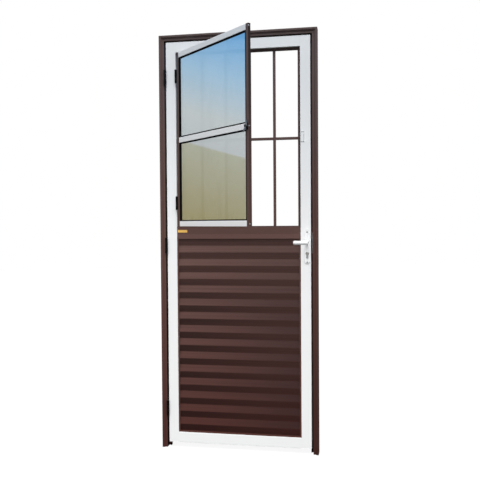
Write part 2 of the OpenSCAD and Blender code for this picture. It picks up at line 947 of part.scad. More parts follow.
// A pane that reaches past the clear opening from low to high by the given amount on every side
module pane(low, high, reach, from, to) {
    block([-glass_half - reach, from, low - reach], [glass_half + reach, to, high + reach]);
}

module glass_pane(low, high) {
    color(clear) opened()
        pane(low, high, glass_reach, glass_front, glass_front + glass_thickness);
}

// The U-shaped gasket around a pane, with a bead that fills the corner before the glass
module glass_gasket(low, high) {
    front = glass_front - gasket_wall;
    back = front + glass_room;
    color(black) opened() difference() {
        union() {
            pane(low, high, gasket_reach, front, back);
            pane(low, high, -sliding_fit, bead_front, glass_front);
        }
        pane(low, high, glass_reach, glass_front, glass_front + glass_thickness);
        pane(low, high, -gasket_show, bead_front - cut_over, back + cut_over);
    }
}

module upper_glass() {
    glass_pane(sash_mid_high, sash_top - sash_rail);
}

module lower_glass() {
    glass_pane(sash_bottom + sash_rail, sash_mid_low);
}

module upper_gasket() {
    glass_gasket(sash_mid_high, sash_top - sash_rail);
}

module lower_gasket() {
    glass_gasket(sash_bottom + sash_rail, sash_mid_low);
}

// Sash latch

// The base on the sash, with the headed pivot that the lever turns on
module latch_base() {
    half_width = sash_stile / 2 - latch_base_inset;
    head_front = hub_front - part_gap;
    round_at = latch_base_height / 2 - half_width;
    color(black) opened() {
        block(
            [latch_x - half_width, latch_base_front, sash_mid_height - round_at],
            [latch_x + half_width, sash_front, sash_mid_height + round_at]
        );
        for (side = [-1, 1])
            rod_y(latch_x, sash_mid_height + side * round_at, latch_base_front, sash_front, half_width);
        rod_y(latch_x, sash_mid_height, head_front, latch_base_front, latch_pin_r);
        rod_y(latch_x, sash_mid_height, head_front - pivot_head_height, head_front, pivot_head_r);
    }
}

// One round of the latch lever's thumb piece, under its pivot and leaning away from the sash
module thumb_round(drop, lean, thick, r) {
    rod_y(0, -drop, hub_front - lean, hub_front - lean + thick, r, $fn = 32);
}

// The lever: nose up, thumb piece down and leaning away from the glass
module latch_lever() {
    thumb_root_r = latch_hub_r - 1.4;
    thumb_bend_r = (thumb_root_r + thumb_tip_r) / 2;
    color(steel) opened() translate([latch_x, 0, sash_mid_height]) difference() {
        union() {
            rod_y(0, 0, hub_front, nose_back, latch_hub_r);
            block(
                [-nose_width / 2, nose_back - nose_thickness, 0],
                [nose_width / 2, nose_back, nose_length - nose_width / 2]
            );
            rod_y(0, nose_length - nose_width / 2, nose_back - nose_thickness, nose_back, nose_width / 2);
            hull() {
                thumb_round(thumb_root_drop, 0, thumb_root_thickness, thumb_root_r);
                thumb_round(thumb_bend_drop, thumb_bend_lean, thumb_thickness, thumb_bend_r);
            }
            hull() {
                thumb_round(thumb_bend_drop, thumb_bend_lean, thumb_thickness, thumb_bend_r);
                thumb_round(thumb_drop, thumb_lean, thumb_thickness, thumb_tip_r);
            }
        }
        rod_y(0, 0, hub_front - cut_over, nose_back + cut_over, latch_pin_r + running_fit);
        rod_y(0, 0, hub_front - thumb_lean - cut_over, hub_front, pivot_head_r + part_gap);
    }
}

// The keeper on the lock stile: a foot, a riser on its far side and a lip over the latch nose
module latch_keeper() {
    low = sash_mid_height - keeper_height / 2;
    high = sash_mid_height + keeper_height / 2;
    lip_front = leaf_front - keeper_depth;
    color(white) translate([0, 0, low]) linear_extrude(high - low) polygon([
        [keeper_left, leaf_front],
        [keeper_right, leaf_front],
        [keeper_right, lip_front + keeper_chamfer],
        [keeper_right - keeper_chamfer, lip_front],
        [keeper_left + keeper_lead, lip_front],
        [keeper_left, lip_front + keeper_lead],
        [keeper_left, lip_front + keeper_wall],
        [keeper_right - keeper_wall, lip_front + keeper_wall],
        [keeper_right - keeper_wall, leaf_front - keeper_wall],
        [keeper_left, leaf_front - keeper_wall]
    ]);
}

// Lock

function faceplate_low() = case_bottom - faceplate_end;
function faceplate_high() = case_top + faceplate_end;

// The keyhole form of the cylinder between two depths: a barrel with a web hanging from it
module cylinder_form(from, to, play) {
    foot = key_height - cylinder_tail + cylinder_web / 2;
    rod_y(lock_x, key_height, from, to, cylinder_r + play);
    block(
        [lock_x - cylinder_web / 2 - play, from, foot],
        [lock_x + cylinder_web / 2 + play, to, key_height]
    );
    rod_y(lock_x, foot, from, to, cylinder_web / 2 + play);
}

// The case is a shell that the faceplate closes, with bearings for the follower and room for the cylinder
module lock_case() {
    case_rear = case_front + case_thickness;
    color(steel) difference() {
        block([case_back, case_front, case_bottom], [faceplate_back, case_rear, case_top]);
        block(
            [case_back + case_wall, case_front + case_wall, case_bottom + case_wall],
            [faceplate_back + cut_over, case_rear - case_wall, case_top - case_wall]
        );
        rod_y(
            lock_x, lever_height, case_front - cut_over, case_rear + cut_over,
            follower_boss_r + running_fit
        );
        cylinder_form(case_front - cut_over, case_rear + cut_over, sliding_fit);
    }
}

module lock_faceplate() {
    color(steel) difference() {
        block(
            [faceplate_back, leaf_mid - faceplate_width / 2, faceplate_low()],
            [leaf_half, leaf_mid + faceplate_width / 2, faceplate_high()]
        );
        bolt_windows(faceplate_back - cut_over, leaf_half + cut_over, sliding_fit);
        for (z = [faceplate_low() + faceplate_end / 2, faceplate_high() - faceplate_end / 2])
            translate([leaf_half, leaf_mid, z])
                rotate([0, 90, 0]) screw_hole(faceplate_thickness, lock_screw_r);
    }
}

// A handle plate with round ends, between a face of the leaf and its own face
module handle_plate(face, way) {
    end_r = plate_width / 2;
    from = min(face, face + way * plate_thickness);
    to = from + plate_thickness;
    difference() {
        union() {
            block(
                [lock_x - end_r, from, plate_bottom + end_r],
                [lock_x + end_r, to, plate_top - end_r]
            );
            rod_y(lock_x, plate_bottom + end_r, from, to, end_r);
            rod_y(lock_x, plate_top - end_r, from, to, end_r);
        }
        rod_y(lock_x, lever_height, from - cut_over, to + cut_over, neck_r + running_fit);
        cylinder_form(from - cut_over, to + cut_over, sliding_fit);
        for (z = [plate_bottom + plate_screw_foot, plate_top - plate_screw_top])
            translate([lock_x, face + way * plate_thickness, z])
                rotate([-way * 90, 0, 0]) screw_hole(plate_thickness, lock_screw_r);
    }
}

module inside_plate() {
    color(white) handle_plate(leaf_front, -1);
}

module outside_plate() {
    color(white) handle_plate(leaf_back, 1);
}

// One end of the grip: a ball flattened towards the leaf
module grip_end(x, y, r) {
    translate([x, y, lever_height]) scale([1, grip_thickness / grip_height, 1]) sphere(r = r, $fn = 32);
}

// A lever whose neck starts at a face of the leaf and whose grip lies towards the hinges
module lever(face, way) {
    grip_y = face + way * lever_reach;
    grip_r = grip_height / 2;
    neck_from = min(face, grip_y);
    neck_to = max(face, grip_y);
    bore_end = face + way * (lever_reach - grip_thickness);
    bore_half = spindle_side / 2 + running_fit;
    difference() {
        union() {
            rod_y(lock_x, lever_height, neck_from, neck_to, neck_r);
            hull() {
                grip_end(lock_x, grip_y, grip_r - grip_taper);
                grip_end(lock_x - lever_length + grip_r, grip_y, grip_r);
            }
        }
        block(
            [lock_x - bore_half, min(face - way * cut_over, bore_end), lever_height - bore_half],
            [lock_x + bore_half, max(face - way * cut_over, bore_end), lever_height + bore_half]
        );
    }
}

module inside_lever() {
    color(white) lever(leaf_front, -1);
}

module outside_lever() {
    color(white) lever(leaf_back, 1);
}

module lever_spindle() {
    half = spindle_side / 2;
    end = lever_reach - grip_thickness - part_gap;
    color(steel) block(
        [lock_x - half, leaf_front - end, lever_height - half],
        [lock_x + half, leaf_back + end, lever_height + half]
    );
}

// The follower turns with the spindle, and its arm draws the latch bolt back
module lock_follower() {
    half = spindle_side / 2 + running_fit;
    boss_from = case_front;
    boss_to = case_front + case_thickness;
    body_from = case_front + case_wall + part_gap;
    body_to = boss_to - case_wall - part_gap;
    color(bronze) difference() {
        union() {
            rod_y(lock_x, lever_height, boss_from, boss_to, follower_boss_r);
            rod_y(lock_x, lever_height, body_from, body_to, follower_r);
            block(
                [lock_x - follower_arm_width / 2, bolt_front, lever_height],
                [lock_x + follower_arm_width / 2, bolt_back, lever_height + follower_arm]
            );
        }
        block(
            [lock_x - half, boss_from - cut_over, lever_height - half],
            [lock_x + half, boss_to + cut_over, lever_height + half]
        );
    }
}

// The latch bolt, bevelled on the side that meets the strike, with a lug for the follower's arm
module latch_bolt() {
    color(bronze) {
        translate([0, 0, latch_bottom]) linear_extrude(latch_height) polygon([
            [latch_tail, bolt_front],
            [latch_tip, bolt_front],
            [latch_tip, bolt_front + latch_flat],
            [leaf_half + latch_bevel_start, bolt_back],
            [latch_tail, bolt_back]
        ]);
        block(
            [latch_tail, bolt_front, latch_bottom - latch_lug],
            [latch_tail + latch_lug_width, bolt_back, latch_bottom]
        );
    }
}

module dead_bolt() {
    color(bronze) block(
        [leaf_half - dead_bolt_length, bolt_front, dead_bolt_bottom],
        [leaf_half - part_gap, bolt_back, dead_bolt_top]
    );
}

function cylinder_from() = leaf_front - plate_thickness - cylinder_proud;
function cylinder_to() = leaf_back + plate_thickness + cylinder_proud;

// The key cylinder: a bore for the plugs, parted in the middle for the cam
module cylinder_body() {
    pocket = cam_thickness / 2 + part_gap;
    color(steel) difference() {
        cylinder_form(cylinder_from(), cylinder_to(), 0);
        rod_y(lock_x, key_height, cylinder_from() - cut_over, cylinder_to() + cut_over, plug_r + running_fit);
        rod_y(lock_x, key_height, leaf_mid - pocket, leaf_mid + pocket, cam_pocket_r);
    }
}

// The plugs that the key turns, one on each side, each with its keyway
module key_plugs() {
    pocket = cam_thickness / 2 + part_gap;
    color(bronze) difference() {
        union() {
            rod_y(lock_x, key_height, cylinder_from(), leaf_mid - pocket, plug_r);
            rod_y(lock_x, key_height, leaf_mid + pocket, cylinder_to(), plug_r);
        }
        for (y = [cylinder_from(), cylinder_to()])
            block(
                [lock_x - keyway_half, y - keyway_depth, key_height - 2 * keyway_height / 3],
                [lock_x + keyway_half, y + keyway_depth, key_height + keyway_height / 3]
            );
    }
}

// The cam between the plugs, whose finger throws the dead bolt
module cylinder_cam() {
    from = leaf_mid - cam_thickness / 2;
    to = leaf_mid + cam_thickness / 2;
    color(steel) {
        rod_y(lock_x, key_height, from, to, cam_hub_r);
        intersection() {
            rod_y(lock_x, key_height, from, to, cam_r);
            block(
                [lock_x - cam_finger / 2, from, key_height - cam_r],
                [lock_x + cam_finger / 2, to, key_height]
            );
        }
    }
}

frame_head();
hinge_jamb();
lock_jamb();
frame_seals();
corner_cleats();
strike_plate();
for (i = [0:len(hinge_names) - 1]) {
    hinge_frame_flap(i);
    hinge_leaf_flap(i);
}
door_hinge_pins();
hinge_stile();
lock_stile();
top_rail();
mid_rail();
bottom_rail();
for (i = [1:board_count]) {
    panel_board(i);
}
hinge_side_channel();
lock_side_channel();
bottom_channel();
grille_frame();
grille_uprights();
grille_cross_bars();
window_seal();
for (i = [0:len(sash_hinge_names) - 1]) {
    sash_hinge_leaf_flap(i);
    sash_hinge_sash_flap(i);
}
sash_hinge_pins();
lock_case();
lock_faceplate();
inside_plate();
outside_plate();
cylinder_body();
latch_keeper();
sash_hinge_stile();
sash_lock_stile();
sash_top_rail();
sash_mid_rail();
sash_bottom_rail();
upper_glass();
lower_glass();
upper_gasket();
lower_gasket();
latch_base();
latch_lever();
inside_lever();
outside_lever();
lever_spindle();
lock_follower();
latch_bolt();
dead_bolt();
key_plugs();
cylinder_cam();
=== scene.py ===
"""Looks of an aluminium entry door with its frame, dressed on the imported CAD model."""

from __future__ import annotations

import json
import logging
import math
from dataclasses import dataclass, replace
from enum import Enum
from typing import Any, ClassVar, Optional, Sequence, Union

import bmesh
import bpy
from mathutils import Matrix, Vector

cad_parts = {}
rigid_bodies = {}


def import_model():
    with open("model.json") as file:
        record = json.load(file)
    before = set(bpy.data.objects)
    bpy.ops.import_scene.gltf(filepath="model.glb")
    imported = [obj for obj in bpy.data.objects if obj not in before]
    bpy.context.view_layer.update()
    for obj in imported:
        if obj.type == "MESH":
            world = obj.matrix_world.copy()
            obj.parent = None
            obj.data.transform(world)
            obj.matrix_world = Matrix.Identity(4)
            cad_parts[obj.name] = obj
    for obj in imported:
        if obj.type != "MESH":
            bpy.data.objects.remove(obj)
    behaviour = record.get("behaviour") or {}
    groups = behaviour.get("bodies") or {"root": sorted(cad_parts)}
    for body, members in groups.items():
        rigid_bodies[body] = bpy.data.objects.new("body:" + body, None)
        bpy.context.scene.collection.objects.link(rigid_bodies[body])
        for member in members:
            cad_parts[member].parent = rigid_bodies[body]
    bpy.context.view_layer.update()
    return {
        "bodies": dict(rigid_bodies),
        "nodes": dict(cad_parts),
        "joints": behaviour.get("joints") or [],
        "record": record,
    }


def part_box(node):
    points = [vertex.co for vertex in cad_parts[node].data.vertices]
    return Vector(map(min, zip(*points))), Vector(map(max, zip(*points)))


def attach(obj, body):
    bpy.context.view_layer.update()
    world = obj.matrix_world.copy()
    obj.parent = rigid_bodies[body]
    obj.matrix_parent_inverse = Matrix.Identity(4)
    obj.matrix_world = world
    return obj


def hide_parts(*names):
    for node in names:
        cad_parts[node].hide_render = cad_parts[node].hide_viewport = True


LOG = logging.getLogger("entry_door")

MM = 0.001
IMAGE_PIXELS = 480

Colour = tuple[float, float, float, float]
Stop = tuple[float, Colour]
Span = tuple[float, float]
Triple = tuple[float, float, float]
Term = Union["Value", float, Sequence[float]]

PLAIN_WHITE: Colour = (1.0, 1.0, 1.0, 1.0)
PLAIN_BLACK: Colour = (0.0, 0.0, 0.0, 1.0)


def srgb(red: float, green: float, blue: float) -> Colour:
    """Turn a colour written as 0 to 255 screen values into scene-linear values.

    Args:
        red: Red, 0 to 255.
        green: Green, 0 to 255.
        blue: Blue, 0 to 255.

    Returns:
        Linear red, green, blue and an alpha of 1.
    """

    def channel(code: float) -> float:
        """Undo the screen curve of one channel."""
        share = code / 255.0
        return share / 12.92 if share <= 0.04045 else ((share + 0.055) / 1.055) ** 2.4

    return channel(red), channel(green), channel(blue), 1.0


class Slot(Enum):
    """Material slots of the record that carry a finish of their own."""

    BROWN = "brown_coat"
    WHITE = "white_coat"
    BLACK = "black_coat"
    RUBBER = "seal_rubber"
    BROWN_RUBBER = "brown_rubber"
    GLASS = "pane_glass"
    ALUMINIUM = "bare_aluminium"
    STEEL = "lock_steel"
    BRASS = "lock_brass"


class PaintedShade(Enum):
    """Where a coat is darkened by painted shade."""

    NOWHERE = "nowhere"
    RIBS = "ribs of the panel"
    CLOSING_EDGE = "closing edge of the sash"
    REBATE = "rebate of the frame"


class Facing(Enum):
    """Ways that a screw head can look, as the direction out of its seat."""

    ROOM = (0.0, -1.0, 0.0)
    OUTSIDE = (0.0, 1.0, 0.0)
    HINGE_SIDE = (-1.0, 0.0, 0.0)
    LOCK_SIDE = (1.0, 0.0, 0.0)


class Value:
    """A node socket that takes part in Python expressions."""

    NOISE_MIDDLE: ClassVar[float] = 0.5

    def __init__(self, graph: Graph, socket: bpy.types.NodeSocket) -> None:
        """Keep the socket and the graph that it belongs to."""
        self.graph = graph
        self.socket = socket

    def _math(self, operation: str, *terms: Term) -> Value:
        """Add a Math node on these terms and give its result."""
        return self.graph.node("ShaderNodeMath", {"operation": operation}, dict(enumerate(terms)))

    def __add__(self, other: Term) -> Value:
        """Sum of the two."""
        return self._math("ADD", self, other)

    def __radd__(self, other: Term) -> Value:
        """Sum with the number first."""
        return self._math("ADD", other, self)

    def __sub__(self, other: Term) -> Value:
        """This less the other."""
        return self._math("SUBTRACT", self, other)

    def __rsub__(self, other: Term) -> Value:
        """The number less this."""
        return self._math("SUBTRACT", other, self)

    def __mul__(self, other: Term) -> Value:
        """Product of the two."""
        return self._math("MULTIPLY", self, other)

    def __rmul__(self, other: Term) -> Value:
        """Product with the number first."""
        return self._math("MULTIPLY", other, self)

    def __truediv__(self, other: Term) -> Value:
        """This over the other."""
        return self._math("DIVIDE", self, other)

    def __rtruediv__(self, other: Term) -> Value:
        """The number over this."""
        return self._math("DIVIDE", other, self)

    def __neg__(self) -> Value:
        """This with its sign turned."""
        return self._math("MULTIPLY", self, -1.0)

    def sine(self) -> Value:
        """Sine of an angle in radians."""
        return self._math("SINE", self)

    def angle_over(self, base: Term) -> Value:
        """Angle whose tangent is this over the base."""
        return self._math("ARCTAN2", self, base)

    def larger(self, other: Term) -> Value:
        """The larger of the two."""
        return self._math("MAXIMUM", self, other)

    def swing(self, reach: float) -> Value:
        """Noise turned into a swing about 0, times a reach."""
        return (self - self.NOISE_MIDDLE) * reach

    def ramp(self, low: float, high: float) -> Value:
        """Smooth step from 0 at low to 1 at high."""
        settings = {"interpolation_type": "SMOOTHSTEP"}
        return self.graph.node("ShaderNodeMapRange", settings, {0: self, 1: low, 2: high})


@dataclass(frozen=True)
class Grain:
    """Noise pattern of a finish.

    Attributes:
        cells: Cells a metre; left at 1 where a stretch is given.
        detail: Finer layers of noise over the coarse one.
        rough: Strength of each finer layer.
        stretch: Cells a metre along each axis, for a pattern that runs one way.
    """

    cells: float = 1.0
    detail: float = 2.0
    rough: float = 0.5
    stretch: Optional[Triple] = None


class Graph:
    """Node tree that is filled through one method."""

    def __init__(self, tree: bpy.types.NodeTree) -> None:
        """Empty the tree and keep it."""
        tree.nodes.clear()
        self.tree = tree

    def node(
        self,
        kind: str,
        settings: Optional[dict[str, Any]] = None,
        inputs: Optional[dict[Union[int, str], Term]] = None,
        output: Union[int, str] = 0,
    ) -> Value:
        """Add one node.

        Args:
            kind: Node type.
            settings: Node settings, set first; "stops" gives a ramp's stops as (place, colour).
            inputs: Values or links by socket name or number.
            output: Socket that is given back.

        Returns:
            The chosen output, ready for expressions, or the first input of a node without outputs.
        """
        made = self.tree.nodes.new(kind)
        for name, setting in (settings or {}).items():
            if name == "stops":
                self._set_stops(made.color_ramp, setting)
            else:
                setattr(made, name, setting)
        for key, term in (inputs or {}).items():
            if isinstance(term, Value):
                self.tree.links.new(term.socket, made.inputs[key])
            else:
                made.inputs[key].default_value = term
        return Value(self, made.outputs[output] if made.outputs else made.inputs[0])

    @staticmethod
    def _set_stops(ramp: bpy.types.ColorRamp, stops: Sequence[Stop]) -> None:
        """Give a ramp its stops.

        Args:
            ramp: Ramp of a new node.
            stops: Places and colours, in rising order.
        """
        while len(ramp.elements) < len(stops):
            ramp.elements.new(1.0)
        for element, (place, colour) in zip(ramp.elements, stops):
            element.position = place
            element.color = colour

    def place(self) -> Value:
        """Place on the object, in metres."""
        return self.node("ShaderNodeTexCoord", output="Object")

    def axes(self, vector: Value) -> tuple[Value, Value, Value]:
        """Split a vector into its three values."""
        split = self.node("ShaderNodeSeparateXYZ", inputs={0: vector}).socket.node
        return tuple(Value(self, socket) for socket in split.outputs)

    def along(self, vector: Value, direction: Triple) -> Value:
        """Length of a vector along a direction."""
        settings = {"operation": "DOT_PRODUCT"}
        return self.node("ShaderNodeVectorMath", settings, {0: vector, 1: direction}, output="Value")

    def noise(self, place: Value, grain: Grain) -> Value:
        """Add a noise with values about 0.5.

        Args:
            place: Place on the object.
            grain: Pattern of the noise.

        Returns:
            The noise.
        """
        if grain.stretch is not None:
            settings = {"operation": "MULTIPLY"}
            place = self.node("ShaderNodeVectorMath", settings, {0: place, 1: grain.stretch})
        pattern = {"Scale": grain.cells, "Detail": grain.detail, "Roughness": grain.rough}
        return self.node("ShaderNodeTexNoise", inputs={"Vector": place, **pattern})

    def mix(self, share: Term, first: Term, second: Term) -> Value:
        """Colour between two by a share from 0 to 1."""
        settings = {"data_type": "RGBA", "clamp_factor": True}
        return self.node("ShaderNodeMix", settings, {0: share, 6: first, 7: second}, output=2)

    def shades(self, share: Value, stops: Sequence[Stop]) -> Value:
        """Colour of a ramp at a share from 0 to 1."""
        return self.node("ShaderNodeValToRGB", {"stops": stops}, {0: share})

    def bump(self, height: Value, strength: float, distance: float) -> Value:
        """Normal tilted by a height."""
        inputs = {"Strength": strength, "Distance": distance, "Height": height}
        return self.node("ShaderNodeBump", inputs=inputs)

    def principled(self, inputs: dict[Union[int, str], Term]) -> None:
        """End the tree in one Principled shader."""
        shader = self.node("ShaderNodeBsdfPrincipled", inputs=inputs)
        self.node("ShaderNodeOutputMaterial", inputs={"Surface": shader})


def new_graph(name: str) -> tuple[bpy.types.Material, Graph]:
    """Make an empty node material.

    Args:
        name: Name of the material.

    Returns:
        The material and its graph.
    """
    material = bpy.data.materials.new(name)
    material.use_nodes = True
    return material, Graph(material.node_tree)


@dataclass(frozen=True)
class PowderCoat:
    """Baked powder paint on aluminium: orange peel, faint clouding, and a colour that shifts with height
    as painted sheen and shade.

    Attributes:
        name: Name of the material.
        foot: Colour at the foot of the door.
        middle: Colour at handle height.
        head: Colour at the head of the door.
        cloud: How far the clouding pulls towards the duller shade.
        dull: Duller shade of the clouding.
        roughness: Middle roughness.
        peel: Strength of the orange peel.
        gloss: Specular level of the paint.
        deepen: How far painted shade darkens the coat.
        deepened: Where the painted shade lies.
        edge: Direction that the faces of an edge or rebate with painted shade look in.
        drawn: How far the lines drawn along an extruded board show through the paint.
    """

    name: str
    foot: Colour
    middle: Colour
    head: Colour
    cloud: float
    dull: Colour
    roughness: float
    peel: float
    gloss: float
    deepen: float = 0.0
    deepened: PaintedShade = PaintedShade.NOWHERE
    edge: Triple = (1.0, 0.0, 0.0)
    drawn: float = 0.0

    DOOR_HEIGHT: ClassVar[float] = 2.1
    COLOUR_HEIGHTS: ClassVar[Triple] = (0.03, 0.5, 0.9)
    # Dark tone of the painted shade, also taken by the lines drawn along the boards.
    SHADE_AND_LINE_TONE: ClassVar[Colour] = srgb(33, 26, 27)

    CLOUDING: ClassVar[Grain] = Grain(5.0, 4.0, 0.6)
    CLOUD_SPAN: ClassVar[Span] = (0.35, 0.75)
    CLOUD_SHARE: ClassVar[float] = 0.75
    CLOUD_SWING: ClassVar[float] = 0.16
    SPECKS: ClassVar[Grain] = Grain(1500.0, 1.0)
    SPECK_SPAN: ClassVar[Span] = (0.5, 0.8)
    SPECK_SWING: ClassVar[float] = 0.08
    SPECK_RELIEF: ClassVar[float] = 0.25
    PEEL: ClassVar[Grain] = Grain(420.0, 1.5)
    PEEL_HEIGHT: ClassVar[float] = 0.4 * MM
    DRAWN: ClassVar[Grain] = Grain(detail=3.0, rough=0.6, stretch=(0.7, 30.0, 150.0))
    DRAWN_SPAN: ClassVar[Span] = (0.4, 0.66)

    # Where and how strongly shade is painted on edges, rebates and the ribs' facets.
    EDGE_SPAN: ClassVar[Span] = (0.9, 0.97)
    EDGE_LEAST: ClassVar[float] = 0.25
    EDGE_RISE: ClassVar[Span] = (1.2, 1.95)
    RIB_SHADE_HEIGHTS: ClassVar[Span] = (0.65, 1.05)
    FACET_SPAN: ClassVar[Span] = (-0.2, 0.2)
    UPPER_SPAN: ClassVar[Span] = (-0.4, 0.5)
    UPPER_LEAST: ClassVar[float] = 0.5
    LOWER_SPAN: ClassVar[Span] = (-0.4, 0.25)
    LOWER_LEAST: ClassVar[float] = 0.3
    LOWER_GROWTH: ClassVar[float] = 0.5

    def _painted_shade_share(self, graph: Graph, across: Value, up: Value) -> Value:
        """Work out the share of painted shade at a place.

        Args:
            graph: Graph of the material.
            across: Place from the hinge side to the lock side.
            up: Height over the floor.

        Returns:
            The share of painted shade: on the ribs' upper facets it grows towards the lock side and on
                their lower facets towards the hinge side; on the sash's closing edge it grows towards
                the head.
        """
        normal = graph.node("ShaderNodeTexCoord", output="Normal")
        if self.deepened is not PaintedShade.RIBS:
            on_edge = graph.along(normal, self.edge).ramp(*self.EDGE_SPAN)
            if self.deepened is PaintedShade.REBATE:
                return on_edge
            return on_edge * (self.EDGE_LEAST + up.ramp(*self.EDGE_RISE) * (1 - self.EDGE_LEAST))
        low = 1.0 - up.ramp(*self.RIB_SHADE_HEIGHTS)
        upper_facet = graph.axes(normal)[2].ramp(*self.FACET_SPAN)
        on_upper = across.ramp(*self.UPPER_SPAN) * (self.UPPER_LEAST + low * (1 - self.UPPER_LEAST))
        towards_hinges = 1.0 - across.ramp(*self.LOWER_SPAN)
        on_lower = self.LOWER_LEAST + towards_hinges * low * self.LOWER_GROWTH
        return upper_facet * on_upper + (1.0 - upper_facet) * on_lower

    def build(self) -> bpy.types.Material:
        """Make the material.

        Returns:
            The material.
        """
        material, graph = new_graph(self.name)
        place = graph.place()
        across, _, up = graph.axes(place)
        # The shift from foot to head is painted light: sky sheen and shade that fall differently along
        # the door's height.
        stops = list(zip(self.COLOUR_HEIGHTS, (self.foot, self.middle, self.head)))
        shade = graph.shades(up / self.DOOR_HEIGHT, stops)
        # Painted shade: the ribs' facets, the sash's closing edge and the jamb's rebate are darkened
        # where shade falls on them.
        if self.deepened is not PaintedShade.NOWHERE:
            shade = graph.mix(self._painted_shade_share(graph, across, up) * self.deepen, shade, self.SHADE_AND_LINE_TONE)
        if self.drawn > 0:
            lines = graph.noise(place, self.DRAWN)
            shade = graph.mix(lines.ramp(*self.DRAWN_SPAN) * self.drawn, shade, self.SHADE_AND_LINE_TONE)
        clouding = graph.noise(place, self.CLOUDING)
        speck = graph.noise(place, self.SPECKS)
        clouded = clouding.ramp(*self.CLOUD_SPAN) * self.CLOUD_SHARE
        specked = speck.ramp(*self.SPECK_SPAN) * (1 - self.CLOUD_SHARE)
        relief = graph.noise(place, self.PEEL) + speck * self.SPECK_RELIEF
        graph.principled(
            {
                "Base Color": graph.mix((clouded + specked) * self.cloud, shade, self.dull),
                "Roughness": self.roughness
                + clouding.swing(self.CLOUD_SWING)
                + speck.swing(self.SPECK_SWING),
                "Specular IOR Level": self.gloss,
                "Normal": graph.bump(relief, self.peel, self.PEEL_HEIGHT),
            }
        )
        return material


@dataclass(frozen=True)
class SealRubber:
    """Extruded rubber with drawn lines along its length and a dusty bloom.

    Attributes:
        name: Name of the material.
        colour: Colour of clean rubber.
        bloom: Colour of the bloom.
    """

    name: str
    colour: Colour
    bloom: Colour

    GLOSS: ClassVar[float] = 0.06
    ROUGHNESS: ClassVar[float] = 0.72
    DRAWN: ClassVar[Grain] = Grain(stretch=(900.0, 900.0, 12.0))
    DRAWN_STRENGTH: ClassVar[float] = 0.25
    DRAWN_HEIGHT: ClassVar[float] = 0.3 * MM
    DUST: ClassVar[Grain] = Grain(18.0, 4.0, 0.65)
    DUST_SPAN: ClassVar[Span] = (0.4, 0.85)
    DUST_SHARE: ClassVar[float] = 0.4
    DUST_SWING: ClassVar[float] = 0.3

    def build(self) -> bpy.types.Material:
        """Make the material.

        Returns:
            The material.
        """
        material, graph = new_graph(self.name)
        place = graph.place()
        drawn = graph.noise(place, self.DRAWN)
        dust = graph.noise(place, self.DUST)
        share = dust.ramp(*self.DUST_SPAN) * self.DUST_SHARE
        graph.principled(
            {
                "Base Color": graph.mix(share, self.colour, self.bloom),
                "Roughness": self.ROUGHNESS + dust.swing(self.DUST_SWING),
                "Specular IOR Level": self.GLOSS,
                "Normal": graph.bump(drawn, self.DRAWN_STRENGTH, self.DRAWN_HEIGHT),
            }
        )
        return material


@dataclass(frozen=True)
class MirrorGlass:
    """Sun-control glass with a mirror coat that lets a little through.

    Attributes:
        name: Name of the material.
        tint: Colour of the clean coat.
        dusty: Colour of the coat under a film of dust.
        cover: Share of the light that the clean coat stops.
    """

    name: str
    tint: Colour
    dusty: Colour
    cover: float

    HAZE: ClassVar[Grain] = Grain(3.2, 3.0, 0.6)
    HAZE_SPAN: ClassVar[Span] = (0.45, 0.8)
    HAZE_SHARE: ClassVar[float] = 0.6
    WIPES: ClassVar[Grain] = Grain(detail=3.0, rough=0.6, stretch=(16.0, 16.0, 3.0))
    WIPE_SPAN: ClassVar[Span] = (0.5, 0.8)
    DUST_SHARE: ClassVar[float] = 0.5
    POLISH: ClassVar[float] = 0.02
    FILM_ROUGHNESS: ClassVar[float] = 0.04
    FILM_COVER: ClassVar[float] = 0.03

    def build(self) -> bpy.types.Material:
        """Make the material.

        Returns:
            The material.
        """
        material, graph = new_graph(self.name)
        place = graph.place()
        haze = graph.noise(place, self.HAZE).ramp(*self.HAZE_SPAN) * self.HAZE_SHARE
        wipe = graph.noise(place, self.WIPES).ramp(*self.WIPE_SPAN) * (1 - self.HAZE_SHARE)
        film = haze + wipe
        graph.principled(
            {
                "Base Color": graph.mix(film * self.DUST_SHARE, self.tint, self.dusty),
                "Metallic": 1.0,
                "Roughness": self.POLISH + film * self.FILM_ROUGHNESS,
                "Alpha": self.cover + film * self.FILM_COVER,
            }
        )
        return material


